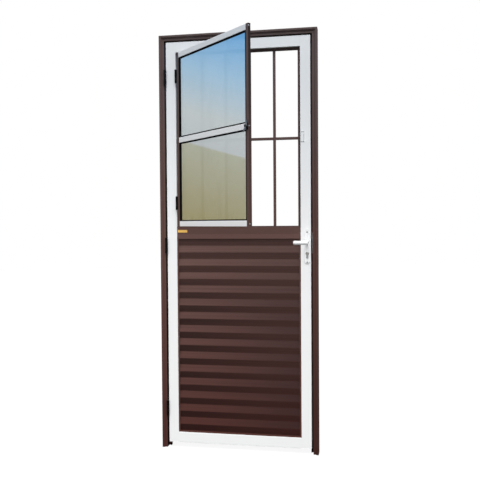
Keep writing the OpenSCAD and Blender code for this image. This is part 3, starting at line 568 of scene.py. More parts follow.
@dataclass(frozen=True)
class BareMetal:
    """Plain or plated metal with brushed lines along one axis and dulled patches.

    Attributes:
        name: Name of the material.
        colour: Colour of bright metal.
        dull: Colour of dulled metal.
        roughness: Middle roughness.
        brush: Cells a metre of the brushed lines along each axis.
        metallic: How far it shines as metal rather than as plating or foil.
    """

    name: str
    colour: Colour
    dull: Colour
    roughness: float
    brush: Triple
    metallic: float = 1.0

    LINE_SPAN: ClassVar[Span] = (0.4, 0.7)
    LINE_SWING: ClassVar[float] = 0.2
    LINE_STRENGTH: ClassVar[float] = 0.12
    LINE_HEIGHT: ClassVar[float] = 0.2 * MM
    PATCHES: ClassVar[Grain] = Grain(60.0, 3.0, 0.6)
    PATCH_SPAN: ClassVar[Span] = (0.4, 0.8)
    PATCH_SHARE: ClassVar[float] = 0.6
    PATCH_SWING: ClassVar[float] = 0.12

    def build(self) -> bpy.types.Material:
        """Make the material.

        Returns:
            The material.
        """
        material, graph = new_graph(self.name)
        place = graph.place()
        lines = graph.noise(place, Grain(detail=3.0, rough=0.6, stretch=self.brush))
        patch = graph.noise(place, self.PATCHES)
        patched = patch.ramp(*self.PATCH_SPAN) * self.PATCH_SHARE
        brushed = lines.ramp(*self.LINE_SPAN) * (1 - self.PATCH_SHARE)
        graph.principled(
            {
                "Base Color": graph.mix(patched + brushed, self.colour, self.dull),
                "Metallic": self.metallic,
                "Roughness": self.roughness
                + lines.swing(self.LINE_SWING)
                + patch.swing(self.PATCH_SWING),
                "Normal": graph.bump(lines, self.LINE_STRENGTH, self.LINE_HEIGHT),
            }
        )
        return material


Finish = Union[PowderCoat, SealRubber, MirrorGlass, BareMetal]

# The brown coat's greyer head is a painted sky sheen, and the white coat's darker head is painted shade.
FINISHES: dict[Slot, Finish] = {
    Slot.BROWN: PowderCoat(
        name="brown_powder_coat",
        foot=srgb(86, 54, 48),
        middle=srgb(94, 69, 64),
        head=srgb(86, 73, 72),
        cloud=0.16,
        dull=srgb(76, 54, 50),
        roughness=0.4,
        peel=0.22,
        gloss=0.14,
    ),
    Slot.WHITE: PowderCoat(
        name="white_powder_coat",
        foot=srgb(243, 244, 244),
        middle=srgb(245, 246, 247),
        head=srgb(217, 221, 225),
        cloud=0.1,
        dull=srgb(226, 227, 226),
        roughness=0.34,
        peel=0.16,
        gloss=0.4,
    ),
    Slot.BLACK: PowderCoat(
        name="black_powder_coat",
        foot=srgb(10, 9, 9),
        middle=srgb(10, 9, 9),
        head=srgb(12, 11, 11),
        cloud=0.3,
        dull=srgb(24, 23, 23),
        roughness=0.4,
        peel=0.3,
        gloss=0.1,
    ),
    Slot.RUBBER: SealRubber("black_seal_rubber", srgb(6, 5, 5), srgb(24, 22, 22)),
    Slot.BROWN_RUBBER: SealRubber("brown_seal_rubber", srgb(78, 63, 62), srgb(96, 80, 78)),
    Slot.GLASS: MirrorGlass("mirror_coated_glass", srgb(240, 243, 244), srgb(226, 229, 228), 0.84),
    Slot.ALUMINIUM: BareMetal(
        name="mill_aluminium",
        colour=srgb(205, 207, 209),
        dull=srgb(170, 172, 174),
        roughness=0.42,
        brush=(600.0, 600.0, 20.0),
    ),
    Slot.STEEL: BareMetal(
        name="zinc_plated_steel",
        colour=srgb(190, 192, 194),
        dull=srgb(158, 160, 163),
        roughness=0.38,
        brush=(700.0, 700.0, 30.0),
        metallic=0.6,
    ),
    Slot.BRASS: BareMetal(
        name="nickel_plated_brass",
        colour=srgb(203, 200, 192),
        dull=srgb(166, 160, 146),
        roughness=0.3,
        brush=(700.0, 90.0, 700.0),
        metallic=0.5,
    ),
}

GOLD_FOIL = BareMetal(
    name="gold_foil",
    colour=srgb(238, 190, 96),
    dull=srgb(224, 168, 78),
    roughness=0.5,
    brush=(60.0, 900.0, 900.0),
    metallic=0.1,
)

# Bolt steel darkened as painted shade, for bolts that sit in the dark gap between leaf and frame.
SHADED_BOLT_STEEL = replace(
    FINISHES[Slot.STEEL], name="bolt_steel_painted_shade", colour=srgb(84, 85, 86), dull=srgb(58, 59, 60)
)

# Dark zinc of the latch lever; the same tone makes the keeper's painted shadow plate.
DARK_ZINC_AND_SHADOW_PLATE = replace(
    FINISHES[Slot.STEEL], name="dark_zinc_and_painted_shadow", colour=srgb(100, 102, 106), dull=srgb(66, 68, 71)
)

# Ribbed panel: painted shade darkens the upper facets towards the lock side and the lower facets towards
# the hinge side, more low down; the drawn lines are the boards' own.
PANEL_BROWN = replace(
    FINISHES[Slot.BROWN],
    name="ribbed_panel_coat_painted_shade",
    foot=srgb(74, 41, 36),
    middle=srgb(98, 74, 69),
    gloss=0.06,
    deepen=0.7,
    deepened=PaintedShade.RIBS,
    drawn=0.16,
)

# Closing stile: painted shade on the faces of its closing edge, stronger towards the head.
CLOSING_BROWN = replace(
    FINISHES[Slot.BROWN],
    name="closing_stile_coat_painted_shade",
    deepen=0.8,
    deepened=PaintedShade.CLOSING_EDGE,
    edge=(math.sqrt(0.5), -math.sqrt(0.5), 0.0),
)

# Hinge jamb: its own height colours are painted light on that side of the frame, and painted shade
# darkens its rebate faces that look towards the leaf.
HINGE_JAMB_BROWN = replace(
    FINISHES[Slot.BROWN],
    name="hinge_jamb_coat_painted_light_and_shade",
    foot=srgb(79, 48, 45),
    middle=srgb(99, 73, 68),
    head=srgb(91, 77, 76),
    gloss=0.03,
    deepen=1.0,
    deepened=PaintedShade.REBATE,
)

# Lock jamb: a darker copy of the brown, as painted shade on that side of the frame.
LOCK_JAMB_BROWN = replace(
    FINISHES[Slot.BROWN], name="lock_jamb_coat_painted_shade", foot=srgb(66, 38, 34), middle=srgb(87, 62, 57)
)

PANEL_BOARDS = tuple(f"panel_board_{number}" for number in range(1, 6))

NODE_FINISHES: dict[str, Finish] = {
    "sash_lock_stile": CLOSING_BROWN,
    "hinge_jamb": HINGE_JAMB_BROWN,
    "lock_jamb": LOCK_JAMB_BROWN,
    **dict.fromkeys(PANEL_BOARDS, PANEL_BROWN),
}


class Paintbox:
    """Makes each finish once and puts it on nodes and pieces."""

    NOT_MIRRORED: ClassVar[tuple[str, ...]] = (
        "sash_hinge_stile",
        "hinge_stile",
        "hinge_jamb",
        "hinge_side_channel",
        "grille_frame",
    )

    def __init__(self, record: dict[str, Any]) -> None:
        """Read which slot each node takes and which nodes cast no shadow.

        Args:
            record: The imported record.
        """
        self.slot_of = {row["node"]: Slot(row["material_slot"]) for row in record["subparts"]}
        self.shadowless = set(record["behaviour"]["bodies"]["sash"])
        self.made: dict[str, bpy.types.Material] = {}

    def dress(self, obj: bpy.types.Object, finish: Finish) -> None:
        """Put a finish on an object as its only material.

        Args:
            obj: The object.
            finish: The finish, whose material is made on first use.
        """
        if finish.name not in self.made:
            self.made[finish.name] = finish.build()
        obj.data.materials.clear()
        obj.data.materials.append(self.made[finish.name])

    def dress_nodes(self, nodes: dict[str, bpy.types.Object]) -> None:
        """Put every CAD node in its own finish or its slot's, and set which rays see it.

        Args:
            nodes: CAD objects by node.
        """
        for name, obj in nodes.items():
            self.dress(obj, NODE_FINISHES.get(name, FINISHES[self.slot_of[name]]))
            obj.visible_shadow = name not in self.shadowless
            obj.visible_glossy = name not in self.NOT_MIRRORED


class Workshop:
    """Turns bmeshes into pieces that ride on the door's bodies; its angles are in degrees."""

    MERGE_DISTANCE: ClassVar[float] = 0.001 * MM
    FLAT_ANGLE: ClassVar[float] = 0.5
    SHARP_ANGLE: ClassVar[float] = 32.0
    EASED_ANGLE: ClassVar[float] = 40.0
    CORNER_STEPS: ClassVar[int] = 4

    def __init__(self, frame: dict[str, Any], paint: Paintbox) -> None:
        """Keep the finishes and read the frame.

        Args:
            frame: The loaded frame.
            paint: The finishes.
        """
        self.nodes = frame["nodes"]
        self.paint = paint
        bodies = frame["record"]["behaviour"]["bodies"]
        self.body_of = {node: body for body, members in bodies.items() for node in members}
        self.joints = {row["name"]: row for row in frame["joints"]}

    def rest_turn(self, joint: str) -> Matrix:
        """Work out the turn from a joint's closed place to where it stands at rest.

        Args:
            joint: Name of the joint.

        Returns:
            The turn about the joint's axis.
        """
        row = self.joints[joint]
        pivot = Matrix.Translation(Vector(row["pos_m"]))
        angle = math.radians(-row["range_deg"][0])
        return pivot @ Matrix.Rotation(angle, 4, Vector(row["axis"])) @ pivot.inverted()

    def piece(
        self,
        mesh: bmesh.types.BMesh,
        name: str,
        body: str,
        slot: Slot,
        finish: Optional[Finish] = None,
    ) -> bpy.types.Object:
        """Make a piece from a bmesh that is in place.

        Args:
            mesh: Geometry in metres in the model's frame; it is freed.
            name: Name of the piece.
            body: Body that it rides on.
            slot: Slot that it belongs to.
            finish: Finish of its own, where it hasn't the slot's.

        Returns:
            The piece.
        """
        data = bpy.data.meshes.new(name)
        mesh.to_mesh(data)
        mesh.free()
        obj = bpy.data.objects.new(name, data)
        bpy.context.scene.collection.objects.link(obj)
        self.paint.dress(obj, finish or FINISHES[slot])
        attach(obj, body)
        LOG.info("%s rides on %s", name, body)
        return obj

    @staticmethod
    def smooth(obj: bpy.types.Object, angle: float) -> None:
        """Shade an object smooth.

        Args:
            obj: The object.
            angle: Angle in degrees above which its edges stay sharp.
        """
        for face in obj.data.polygons:
            face.use_smooth = True
        obj.data.set_sharp_from_angle(angle=math.radians(angle))

    def rounded_plate(self, low: Vector, high: Vector, corner: float) -> bmesh.types.BMesh:
        """Shape a thin upright plate with rounded corners.

        Args:
            low: Lowest corner of its box.
            high: Highest corner of its box.
            corner: Radius of the corners.

        Returns:
            The plate, in place.
        """
        plate = bmesh.new()
        bmesh.ops.create_cube(plate, size=1.0)
        bmesh.ops.scale(plate, vec=high - low, verts=plate.verts[:])
        bmesh.ops.bevel(
            plate,
            geom=[edge for edge in plate.edges if edge.verts[0].co.y * edge.verts[1].co.y < 0],
            offset=corner,
            segments=self.CORNER_STEPS,
            profile=0.5,
            affect="EDGES",
            material=-1,
        )
        bmesh.ops.translate(plate, verts=plate.verts[:], vec=(low + high) / 2)
        return plate

    def eased_copy(
        self, node: str, bevel: float = 0.0, segments: int = 2, finish: Optional[Finish] = None
    ) -> None:
        """Stand a merged copy with eased edges in for a CAD node.

        Args:
            node: CAD node that the copy replaces.
            bevel: Width of the eased edges; 0 leaves the edges as they are.
            segments: Steps across an eased edge.
            finish: Finish of its own, where it hasn't the slot's.
        """
        mesh = bmesh.new()
        mesh.from_mesh(self.nodes[node].data)
        bmesh.ops.remove_doubles(mesh, verts=mesh.verts[:], dist=self.MERGE_DISTANCE)
        flat = math.radians(self.FLAT_ANGLE)
        bmesh.ops.dissolve_limit(mesh, angle_limit=flat, verts=mesh.verts[:], edges=mesh.edges[:])
        bmesh.ops.recalc_face_normals(mesh, faces=mesh.faces[:])
        obj = self.piece(mesh, f"{node}_eased", self.body_of[node], self.paint.slot_of[node], finish)
        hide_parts(node)
        obj.visible_glossy = "hinge" not in node
        self.smooth(obj, self.SHARP_ANGLE)
        if bevel > 0:
            rounding = obj.modifiers.new("eased_edges", "BEVEL")
            rounding.width = bevel
            rounding.segments = segments
            rounding.limit_method = "ANGLE"
            rounding.angle_limit = math.radians(self.EASED_ANGLE)
            rounding.harden_normals = True


@dataclass(frozen=True)
class ScrewHead:
    """Head of a screw with a cross recess, looking up, with the face that it sits in at z = 0.

    Attributes:
        radius: Radius of the head at the face.
        sink: How far a countersunk head reaches under the face; 0 for a pan head.
        crown: Height of the head over the face; 0 for a flush head.
        slot_width: Width of the cross's arms.
        slot_depth: Depth of the cross.
    """

    radius: float
    sink: float
    crown: float
    slot_width: float
    slot_depth: float

    STEPS: ClassVar[int] = 24
    FLAT: ClassVar[float] = 0.66
    SINK_SLOPE: ClassVar[float] = 0.8
    RIM_RISE: ClassVar[float] = 0.35
    SHOULDER_REACH: ClassVar[float] = 0.86
    SHOULDER_RISE: ClassVar[float] = 0.72
    CROSS_REACH: ClassVar[float] = 0.84
    MERGE_DISTANCE: ClassVar[float] = 0.0001 * MM
    RIM_SLACK: ClassVar[float] = 1.001

    def _profile(self) -> list[tuple[float, float]]:
        """Work out the head's outline.

        Returns:
            Radius and height, from the head's foot to the rim of its flat top.
        """
        if self.sink > 0:
            foot = [(self.radius - self.SINK_SLOPE * self.sink, -self.sink), (self.radius, 0.0)]
        else:
            foot = [(self.radius, 0.0), (self.radius, self.crown * self.RIM_RISE)]
        shoulder = (self.radius * self.SHOULDER_REACH, self.crown * self.SHOULDER_RISE)
        return [*foot, shoulder, (self.radius * self.FLAT, self.crown)]

    def mesh(self) -> bpy.types.Mesh:
        """Spin the head, close both ends and sink the cross in its top.

        Returns:
            The head's mesh.
        """
        head = bmesh.new()
        points = [head.verts.new((radius, 0.0, height)) for radius, height in self._profile()]
        edges = [head.edges.new(pair) for pair in zip(points, points[1:])]
        bmesh.ops.spin(
            head,
            geom=points + edges,
            cent=(0.0, 0.0, 0.0),
            axis=(0.0, 0.0, 1.0),
            angle=math.tau,
            steps=self.STEPS,
            use_merge=True,
        )
        bmesh.ops.remove_doubles(head, verts=head.verts[:], dist=self.MERGE_DISTANCE)
        ends = [edge for edge in head.edges if edge.is_boundary]
        bmesh.ops.holes_fill(head, edges=ends, sides=0)
        self._sink_cross(head)
        bmesh.ops.recalc_face_normals(head, faces=head.faces[:])
        data = bpy.data.meshes.new("screw_head")
        head.to_mesh(data)
        head.free()
        return data

    def _top_faces(self, head: bmesh.types.BMesh) -> list[bmesh.types.BMFace]:
        """Find the faces of the flat top, inside its rim.

        Args:
            head: The head.

        Returns:
            The faces.
        """
        rim = self.radius * self.FLAT * self.RIM_SLACK
        level = self.crown - self.MERGE_DISTANCE
        return [
            face
            for face in head.faces
            if all(vert.co.z >= level and vert.co.xy.length <= rim for vert in face.verts)
        ]

    def _sink_cross(self, head: bmesh.types.BMesh) -> None:
        """Cut the flat top into a grid and push the cross's cells down.

        Args:
            head: The head.
        """
        half = self.slot_width / 2
        reach = self.radius * self.FLAT * self.CROSS_REACH
        for axis in (Vector((1.0, 0.0, 0.0)), Vector((0.0, 1.0, 0.0))):
            for offset in (-reach, -half, half, reach):
                top = self._top_faces(head)
                edges = dict.fromkeys(edge for face in top for edge in face.edges)
                verts = dict.fromkeys(vert for face in top for vert in face.verts)
                geometry = [*top, *edges, *verts]
                bmesh.ops.bisect_plane(head, geom=geometry, plane_co=axis * offset, plane_no=axis)
        cross = []
        for face in self._top_faces(head):
            centre = face.calc_center_median()
            near, far = sorted((abs(centre.x), abs(centre.y)))
            if near < half and far < reach:
                cross.append(face)
        sunk = bmesh.ops.extrude_face_region(head, geom=cross)["geom"]
        floor = [item for item in sunk if isinstance(item, bmesh.types.BMVert)]
        bmesh.ops.translate(head, verts=floor, vec=(0.0, 0.0, -self.slot_depth))
        bmesh.ops.delete(head, geom=cross, context="FACES")


HANDLE_SCREW = ScrewHead(4.0 * MM, 2.9 * MM, 0.7 * MM, 1.1 * MM, 0.9 * MM)
FACEPLATE_SCREW = ScrewHead(3.6 * MM, 2.4 * MM, 0.0, 1.0 * MM, 0.8 * MM)
STRIKE_SCREW = ScrewHead(2.8 * MM, 1.4 * MM, 0.0, 0.8 * MM, 0.7 * MM)
HINGE_SCREW = ScrewHead(3.6 * MM, 1.9 * MM, 0.0, 1.0 * MM, 0.8 * MM)
SASH_HINGE_SCREW = ScrewHead(2.36 * MM, 1.1 * MM, 0.0, 0.7 * MM, 0.5 * MM)
EDGE_SCREW = ScrewHead(3.4 * MM, 0.0, 1.2 * MM, 0.9 * MM, 0.7 * MM)


@dataclass(frozen=True)
class Assembly:
    """Part of the door that is built from pieces.

    Attributes:
        shop: Workshop that makes the pieces.
    """

    shop: Workshop


@dataclass(frozen=True)
class ScrewGroup(Assembly):
    """Screws of one kind that are driven into one piece.

    Attributes:
        name: Name of the group's piece.
        head: Head of the screws.
        body: Body that they ride on.
        facing: Way that the heads look.
        seats: Points where the heads sit.
        turned: Further place of the whole group, as for a sash that stands open.
    """

    name: str
    head: ScrewHead
    body: str
    facing: Facing
    seats: Sequence[Vector]
    turned: Matrix = Matrix.Identity(4)

    SEAT_DEPTH: ClassVar[float] = 0.02 * MM
    TWIST: ClassVar[float] = 0.7
    SHARP_ANGLE: ClassVar[float] = 35.0

    def build(self) -> None:
        """Drive the screws in, each turned a little differently."""
        one = self.head.mesh()
        group = bmesh.new()
        outward = Vector(self.facing.value)
        stand = outward.to_track_quat("Z", "Y").to_matrix().to_4x4()
        for number, seat in enumerate(self.seats):
            start = len(group.verts)
            group.from_mesh(one)
            group.verts.ensure_lookup_table()
            twist = Matrix.Rotation(self.TWIST * (number + 1), 4, "Z")
            place = self.turned @ Matrix.Translation(seat - outward * self.SEAT_DEPTH) @ stand @ twist
            bmesh.ops.transform(group, matrix=place, verts=group.verts[start:])
        bpy.data.meshes.remove(one)
        self.shop.smooth(self.shop.piece(group, self.name, self.body, Slot.STEEL), self.SHARP_ANGLE)


@dataclass(frozen=True)
class HandleSet(Assembly):
    """Levers, plates and key cylinder on both faces of the lock stile."""

    top_screw_inset: float = 16.5 * MM
    foot_screw_inset: float = 7.0 * MM
    plate_bevel: float = 0.9 * MM
    plate_steps: int = 3
    cylinder_bevel: float = 0.3 * MM

    def build(self) -> None:
        """Ease the fittings and screw the plates on."""
        for node in ("inside_lever", "outside_lever"):
            self.shop.eased_copy(node)
        for node in ("inside_plate", "outside_plate"):
            self.shop.eased_copy(node, self.plate_bevel, self.plate_steps)
        for node in ("cylinder_body", "key_plugs"):
            self.shop.eased_copy(node, self.cylinder_bevel)
        self._screws("inside_plate", Facing.ROOM)
        self._screws("outside_plate", Facing.OUTSIDE)

    def _screws(self, plate: str, facing: Facing) -> None:
        """Put two screws on a plate's face.

        Args:
            plate: Node of the plate.
            facing: Way that the plate looks.
        """
        low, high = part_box(plate)
        across = (low.x + high.x) / 2
        face = low.y if facing is Facing.ROOM else high.y
        heights = (high.z - self.top_screw_inset, low.z + self.foot_screw_inset)
        seats = [Vector((across, face, height)) for height in heights]
        ScrewGroup(self.shop, f"{plate}_screws", HANDLE_SCREW, "leaf", facing, seats).build()


@dataclass(frozen=True)
class LockFittings(Assembly):
    """Bolts, faceplate and strike at the closing edge."""

    bolt_bevel: float = 0.4 * MM
    plate_bevel: float = 0.35 * MM
    face_inset: float = 5.0 * MM
    strike_inset: float = 7.0 * MM

    def build(self) -> None:
        """Ease the bolts and plates, and put a flush screw near each end of the plates."""
        # The bolts take the steel darkened by painted shade.
        for node in ("latch_bolt", "dead_bolt"):
            self.shop.eased_copy(node, self.bolt_bevel, finish=SHADED_BOLT_STEEL)
        for node in ("lock_faceplate", "strike_plate"):
            self.shop.eased_copy(node, self.plate_bevel)
        for name, plate, screw, facing, inset in (
            ("faceplate_screws", "lock_faceplate", FACEPLATE_SCREW, Facing.LOCK_SIDE, self.face_inset),
            ("strike_screws", "strike_plate", STRIKE_SCREW, Facing.HINGE_SIDE, self.strike_inset),
        ):
            low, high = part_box(plate)
            across = high.x if facing is Facing.LOCK_SIDE else low.x
            middle = (low.y + high.y) / 2
            seats = [Vector((across, middle, height)) for height in (high.z - inset, low.z + inset)]
            ScrewGroup(self.shop, name, screw, self.shop.body_of[plate], facing, seats).build()


@dataclass(frozen=True)
class HingeRow(Assembly):
    """Hinges of one kind, with flush screws in both flaps of each.

    Attributes:
        names: Names of the hinges.
        swing: Joint that they turn on.
        fixed: Ending of the fixed flaps' names.
        moving: Ending of the moving flaps' names.
        pins: Node of their pins.
        carrier_face: Place across of the face that carries the moving flaps, door and sash closed.
        flap_depth: Depth of a flap.
        flap_thickness: Thickness of a flap.
        screws: Number of screws in each flap.
        screw: Head of the screws.
        bevel: Width of the eased edges.
    """

    names: Sequence[str]
    swing: str
    fixed: str
    moving: str
    pins: str
    carrier_face: float
    flap_depth: float
    flap_thickness: float
    screws: int
    screw: ScrewHead
    bevel: float = 0.4 * MM

    STAGGER: ClassVar[float] = 1 / 6

    def build(self) -> None:
        """Ease the hinges and drive their screws."""
        self.shop.eased_copy(self.pins, self.bevel)
        for name in self.names:
            for ending in (self.fixed, self.moving):
                self.shop.eased_copy(f"{name}_{ending}", self.bevel)
            self._screws(name)

    def _screws(self, name: str) -> None:
        """Drive the screws of one hinge, both flaps drilled alike and the moving one opened to rest.

        Args:
            name: Name of the hinge.
        """
        fixed, moving = f"{name}_{self.fixed}", f"{name}_{self.moving}"
        low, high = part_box(fixed)
        axis = self.shop.joints[self.swing]["pos_m"][0]
        reach = abs(self.carrier_face - axis) - self.flap_thickness
        places = []
        for number in range(self.screws):
            side = -1 if number % 2 == 0 else 1
            depth = high.y - self.flap_depth * (0.5 - side * self.STAGGER)
            places.append((depth, low.z + (high.z - low.z) * (number + 0.5) / self.screws))
        for flap, facing, across, turned in (
            (fixed, Facing.LOCK_SIDE, axis - reach, Matrix.Identity(4)),
            (moving, Facing.HINGE_SIDE, axis + reach, self.shop.rest_turn(self.swing)),
        ):
            seats = [Vector((across, depth, height)) for depth, height in places]
            body = self.shop.body_of[flap]
            ScrewGroup(self.shop, f"{flap}_screws", self.screw, body, facing, seats, turned).build()


@dataclass(frozen=True)
class Hinges(Assembly):
    """Three door hinges and two sash hinges."""

    door_flap_depth: float = 26.0 * MM
    door_flap_thickness: float = 2.0 * MM
    sash_flap_depth: float = 12.0 * MM
    sash_flap_thickness: float = 1.2 * MM

    def build(self) -> None:
        """Build both rows of hinges."""
        stile_low, stile_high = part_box("hinge_stile")
        sash_axis = self.shop.joints["sash_swing"]["pos_m"][0]
        HingeRow(
            shop=self.shop,
            names=("bottom", "middle", "top"),
            swing="leaf_swing",
            fixed="hinge_frame_flap",
            moving="hinge_leaf_flap",
            pins="door_hinge_pins",
            carrier_face=stile_low.x,
            flap_depth=self.door_flap_depth,
            flap_thickness=self.door_flap_thickness,
            screws=3,
            screw=HINGE_SCREW,
        ).build()
        HingeRow(
            shop=self.shop,
            names=("lower", "upper"),
            swing="sash_swing",
            fixed="sash_hinge_leaf_flap",
            moving="sash_hinge_sash_flap",
            pins="sash_hinge_pins",
            carrier_face=2 * sash_axis - stile_high.x,
            flap_depth=self.sash_flap_depth,
            flap_thickness=self.sash_flap_thickness,
            screws=2,
            screw=SASH_HINGE_SCREW,
        ).build()


@dataclass(frozen=True)
class SashLatch(Assembly):
    """Turning latch of the vent sash and the keeper on the leaf."""

    base_bevel: float = 0.6 * MM
    shadow_plate_side: float = 0.8 * MM
    shadow_plate_foot: float = 0.8 * MM
    shadow_plate_head: float = 4.0 * MM
    shadow_plate_thickness: float = 0.7 * MM
    shadow_plate_corner: float = 1.2 * MM

    def build(self) -> None:
        """Ease the latch and its keeper, and lay a dark plate under the keeper as its painted shadow."""
        self.shop.eased_copy("latch_lever", finish=DARK_ZINC_AND_SHADOW_PLATE)
        for node in ("latch_base", "latch_keeper"):
            self.shop.eased_copy(node, self.base_bevel)
        self._shadow_plate()

    def _shadow_plate(self) -> None:
        """Lay a thin dark plate under the keeper that shows above, below and on the far side of it, as
        the keeper's painted shadow.
        """
        low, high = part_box("latch_keeper")
        low = low - Vector((0.0, 0.0, self.shadow_plate_foot))
        high = high + Vector((self.shadow_plate_side, 0.0, self.shadow_plate_head))
        low.y = high.y - self.shadow_plate_thickness
        plate = self.shop.rounded_plate(low, high, self.shadow_plate_corner)
        self.shop.piece(plate, "keeper_painted_shadow_plate", "leaf", Slot.STEEL, DARK_ZINC_AND_SHADOW_PLATE)


@dataclass(frozen=True)
class VentSash(Assembly):
    """Corner screws on the closing edge of the vent sash."""

    closing_edge: float = 311.5 * MM
    rail_middle: float = 11.0 * MM
    edge_depth: float = 10.5 * MM

    def build(self) -> None:
        """Put the screws that hold the rails into the edge of the closing stile."""
        low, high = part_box("sash_lock_stile")
        rail_low, rail_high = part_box("sash_mid_rail")
        middle = (rail_low.z + rail_high.z) / 2
        heights = (low.z + self.rail_middle, middle, high.z - self.rail_middle)
        seats = [Vector((self.closing_edge, self.edge_depth, height)) for height in heights]
        opened = self.shop.rest_turn("sash_swing")
        ScrewGroup(
            self.shop, "sash_edge_screws", EDGE_SCREW, "sash", Facing.LOCK_SIDE, seats, opened
        ).build()


@dataclass(frozen=True)
class BlankPlate(Assembly):
    """Small blank gold plate on the face of the mid rail."""

    left: float = -311.0 * MM
    width: float = 49.0 * MM
    foot: float = 1103.0 * MM
    height: float = 13.0 * MM
    thickness: float = 0.6 * MM
    corner: float = 1.6 * MM
    rim: float = 1.2 * MM
    rim_slope: float = 0.25 * MM
    rim_rise: float = 0.25 * MM
    face: float = 11.0 * MM

    def build(self) -> None:
        """Shape the plate with a raised rim."""
        low = Vector((self.left, self.face - self.thickness, self.foot))
        high = Vector((self.left + self.width, self.face, self.foot + self.height))
        plate = self.shop.rounded_plate(low, high, self.corner)
        front = min(plate.faces, key=lambda face: face.calc_center_median().y)
        for step in (self.rim, self.rim_slope):
            bmesh.ops.inset_individual(plate, faces=[front], thickness=step, use_even_offset=True)
        bmesh.ops.translate(plate, verts=front.verts[:], vec=(0.0, self.rim_rise, 0.0))
        self.shop.piece(plate, "blank_gold_plate", "leaf", Slot.BRASS, GOLD_FOIL)


@dataclass(frozen=True)
class Studio:
    """Floor, light, reflections and camera.

    Attributes:
        scene: Scene that is lit and seen.
        floor_radius: Radius of the pale floor.
        floor_colour: Colour of the floor.
        floor_worn: Second tone of the floor.
        floor_glow: How far the floor tends to plain white, which keeps its shadow pale.
        sky_above: World light from straight above, for lighting only.
        sky_below: World light from straight below, for lighting only.
        sky_blend: Upward share of a direction at which the light from above is full.
        sun_towards: Direction towards the key light.
        sun_distance: Distance of the key light.
        sun_strength: Strength of the key light.
        sun_spread: Angle that the key light covers.
        unshadowed: Pieces that don't block the key light.
        screen_radius: Radius of the reflection screen.
        screen_height: Height of the reflection screen.
        screen_sunk: How far the screen reaches under the floor.
        screen_strength: Brightness of the screen.
        screen_dimming: How far the screen darkens towards the lock side.
        dimming_span: Where across it starts to darken and where it is darkest, as shares of its radius.
        horizon: Height of the reflected skyline on the screen.
        skyline_heading: Heading at which the skyline is at that height.
        skyline_rise: How far the skyline swings up and down around the screen.
        skyline_waves: Times that it swings around the screen.
        skyline_blur: Half the height over which sky and meadow meet.
        sky_span: Height over the skyline at which the sky has its last colour.
        meadow_span: Depth under the skyline at which the meadow has its last colour.
        camera_place: Place of the camera.
        camera_yaw: Turn of the camera to its left, in degrees.
        camera_pitch: Tilt of the camera upwards, in degrees.
        camera_roll: Roll of the camera, in degrees.
        focal_pixels: Focal length in pixels of the photograph.
        sensor: Width of the sensor in millimetres.
    """

    scene: bpy.types.Scene
    floor_radius: float = 14.0
    floor_colour: Colour = srgb(244, 244, 244)
    floor_worn: Colour = srgb(238, 238, 238)
    floor_glow: float = 0.88
    sky_above: float = 0.66
    sky_below: float = 0.16
    sky_blend: float = 0.8
    sun_towards: Triple = (0.06, -0.48, 0.865)
    sun_distance: float = 6.0
    sun_strength: float = 3.77
    sun_spread: float = 0.7
    unshadowed: tuple[str, ...] = ("inside_lever_eased", "outside_lever_eased", "latch_keeper_eased")
    screen_radius: float = 8.0
    screen_height: float = 9.0
    screen_sunk: float = 1.0
    screen_strength: float = 1.24
    screen_dimming: float = 0.645
    dimming_span: Span = (-0.2, 0.9)
    horizon: float = 2.33
    skyline_heading: float = 0.18
    skyline_rise: float = 1.115
    skyline_waves: float = 2.0
    skyline_blur: float = 0.015
    sky_span: float = 2.0
    meadow_span: float = 3.0
    camera_place: Triple = (0.6163, -3.3156, 1.1534)
    camera_yaw: float = 10.325
    camera_pitch: float = -1.512
    camera_roll: float = 0.397
    focal_pixels: float = 674.6
    sensor: float = 36.0

    ROUND_STEPS: ClassVar[int] = 96
    FLOOR_TONE: ClassVar[Grain] = Grain(1.3, 4.0, 0.6)
    SKY: ClassVar[tuple[Stop, ...]] = (
        (0.0, srgb(181, 185, 187)),
        (0.25, srgb(186, 192, 193)),
        (0.62, srgb(152, 184, 208)),
        (1.0, srgb(104, 161, 209)),
    )
    MEADOW: ClassVar[tuple[Stop, ...]] = (
        (0.0, srgb(167, 167, 150)),
        (0.4, srgb(150, 141, 104)),
        (1.0, srgb(60, 52, 44)),
    )

    def build(self) -> None:
        """Set the whole stage."""
        self.scene.view_settings.view_transform = "Standard"
        self._floor()
        self._screen()
        self._world()
        self._key_light()
        self._camera()

    def _stage_object(
        self,
        mesh: bmesh.types.BMesh,
        name: str,
        material: bpy.types.Material,
        unseen_by: Sequence[str],
    ) -> None:
        """Make a stage object.

        Args:
            mesh: Geometry in place; it is freed.
            name: Name of the object.
            material: Its material.
            unseen_by: Kinds of rays that pass it by.
        """
        data = bpy.data.meshes.new(name)
        mesh.to_mesh(data)
        mesh.free()
        data.materials.append(material)
        obj = bpy.data.objects.new(name, data)
        self.scene.collection.objects.link(obj)
        for ray in unseen_by:
            setattr(obj, f"visible_{ray}", False)

    def _floor(self) -> None:
        """Lay the pale floor; it takes the shadow and throws no light up."""
        material, graph = new_graph("pale_floor")
        tone = graph.noise(graph.place(), self.FLOOR_TONE)
        colour = graph.mix(tone, self.floor_colour, self.floor_worn)
        lit = graph.node("ShaderNodeBsdfDiffuse", inputs={"Color": colour})
        white = graph.node("ShaderNodeEmission", inputs={"Color": PLAIN_WHITE, "Strength": 1.0})
        surface = graph.node("ShaderNodeMixShader", inputs={0: self.floor_glow, 1: lit, 2: white})
        graph.node("ShaderNodeOutputMaterial", inputs={"Surface": surface})
        disc = bmesh.new()
        bmesh.ops.create_circle(
            disc, cap_ends=True, segments=self.ROUND_STEPS, radius=self.floor_radius
        )
        self._stage_object(disc, "studio_floor", material, ("diffuse", "glossy"))

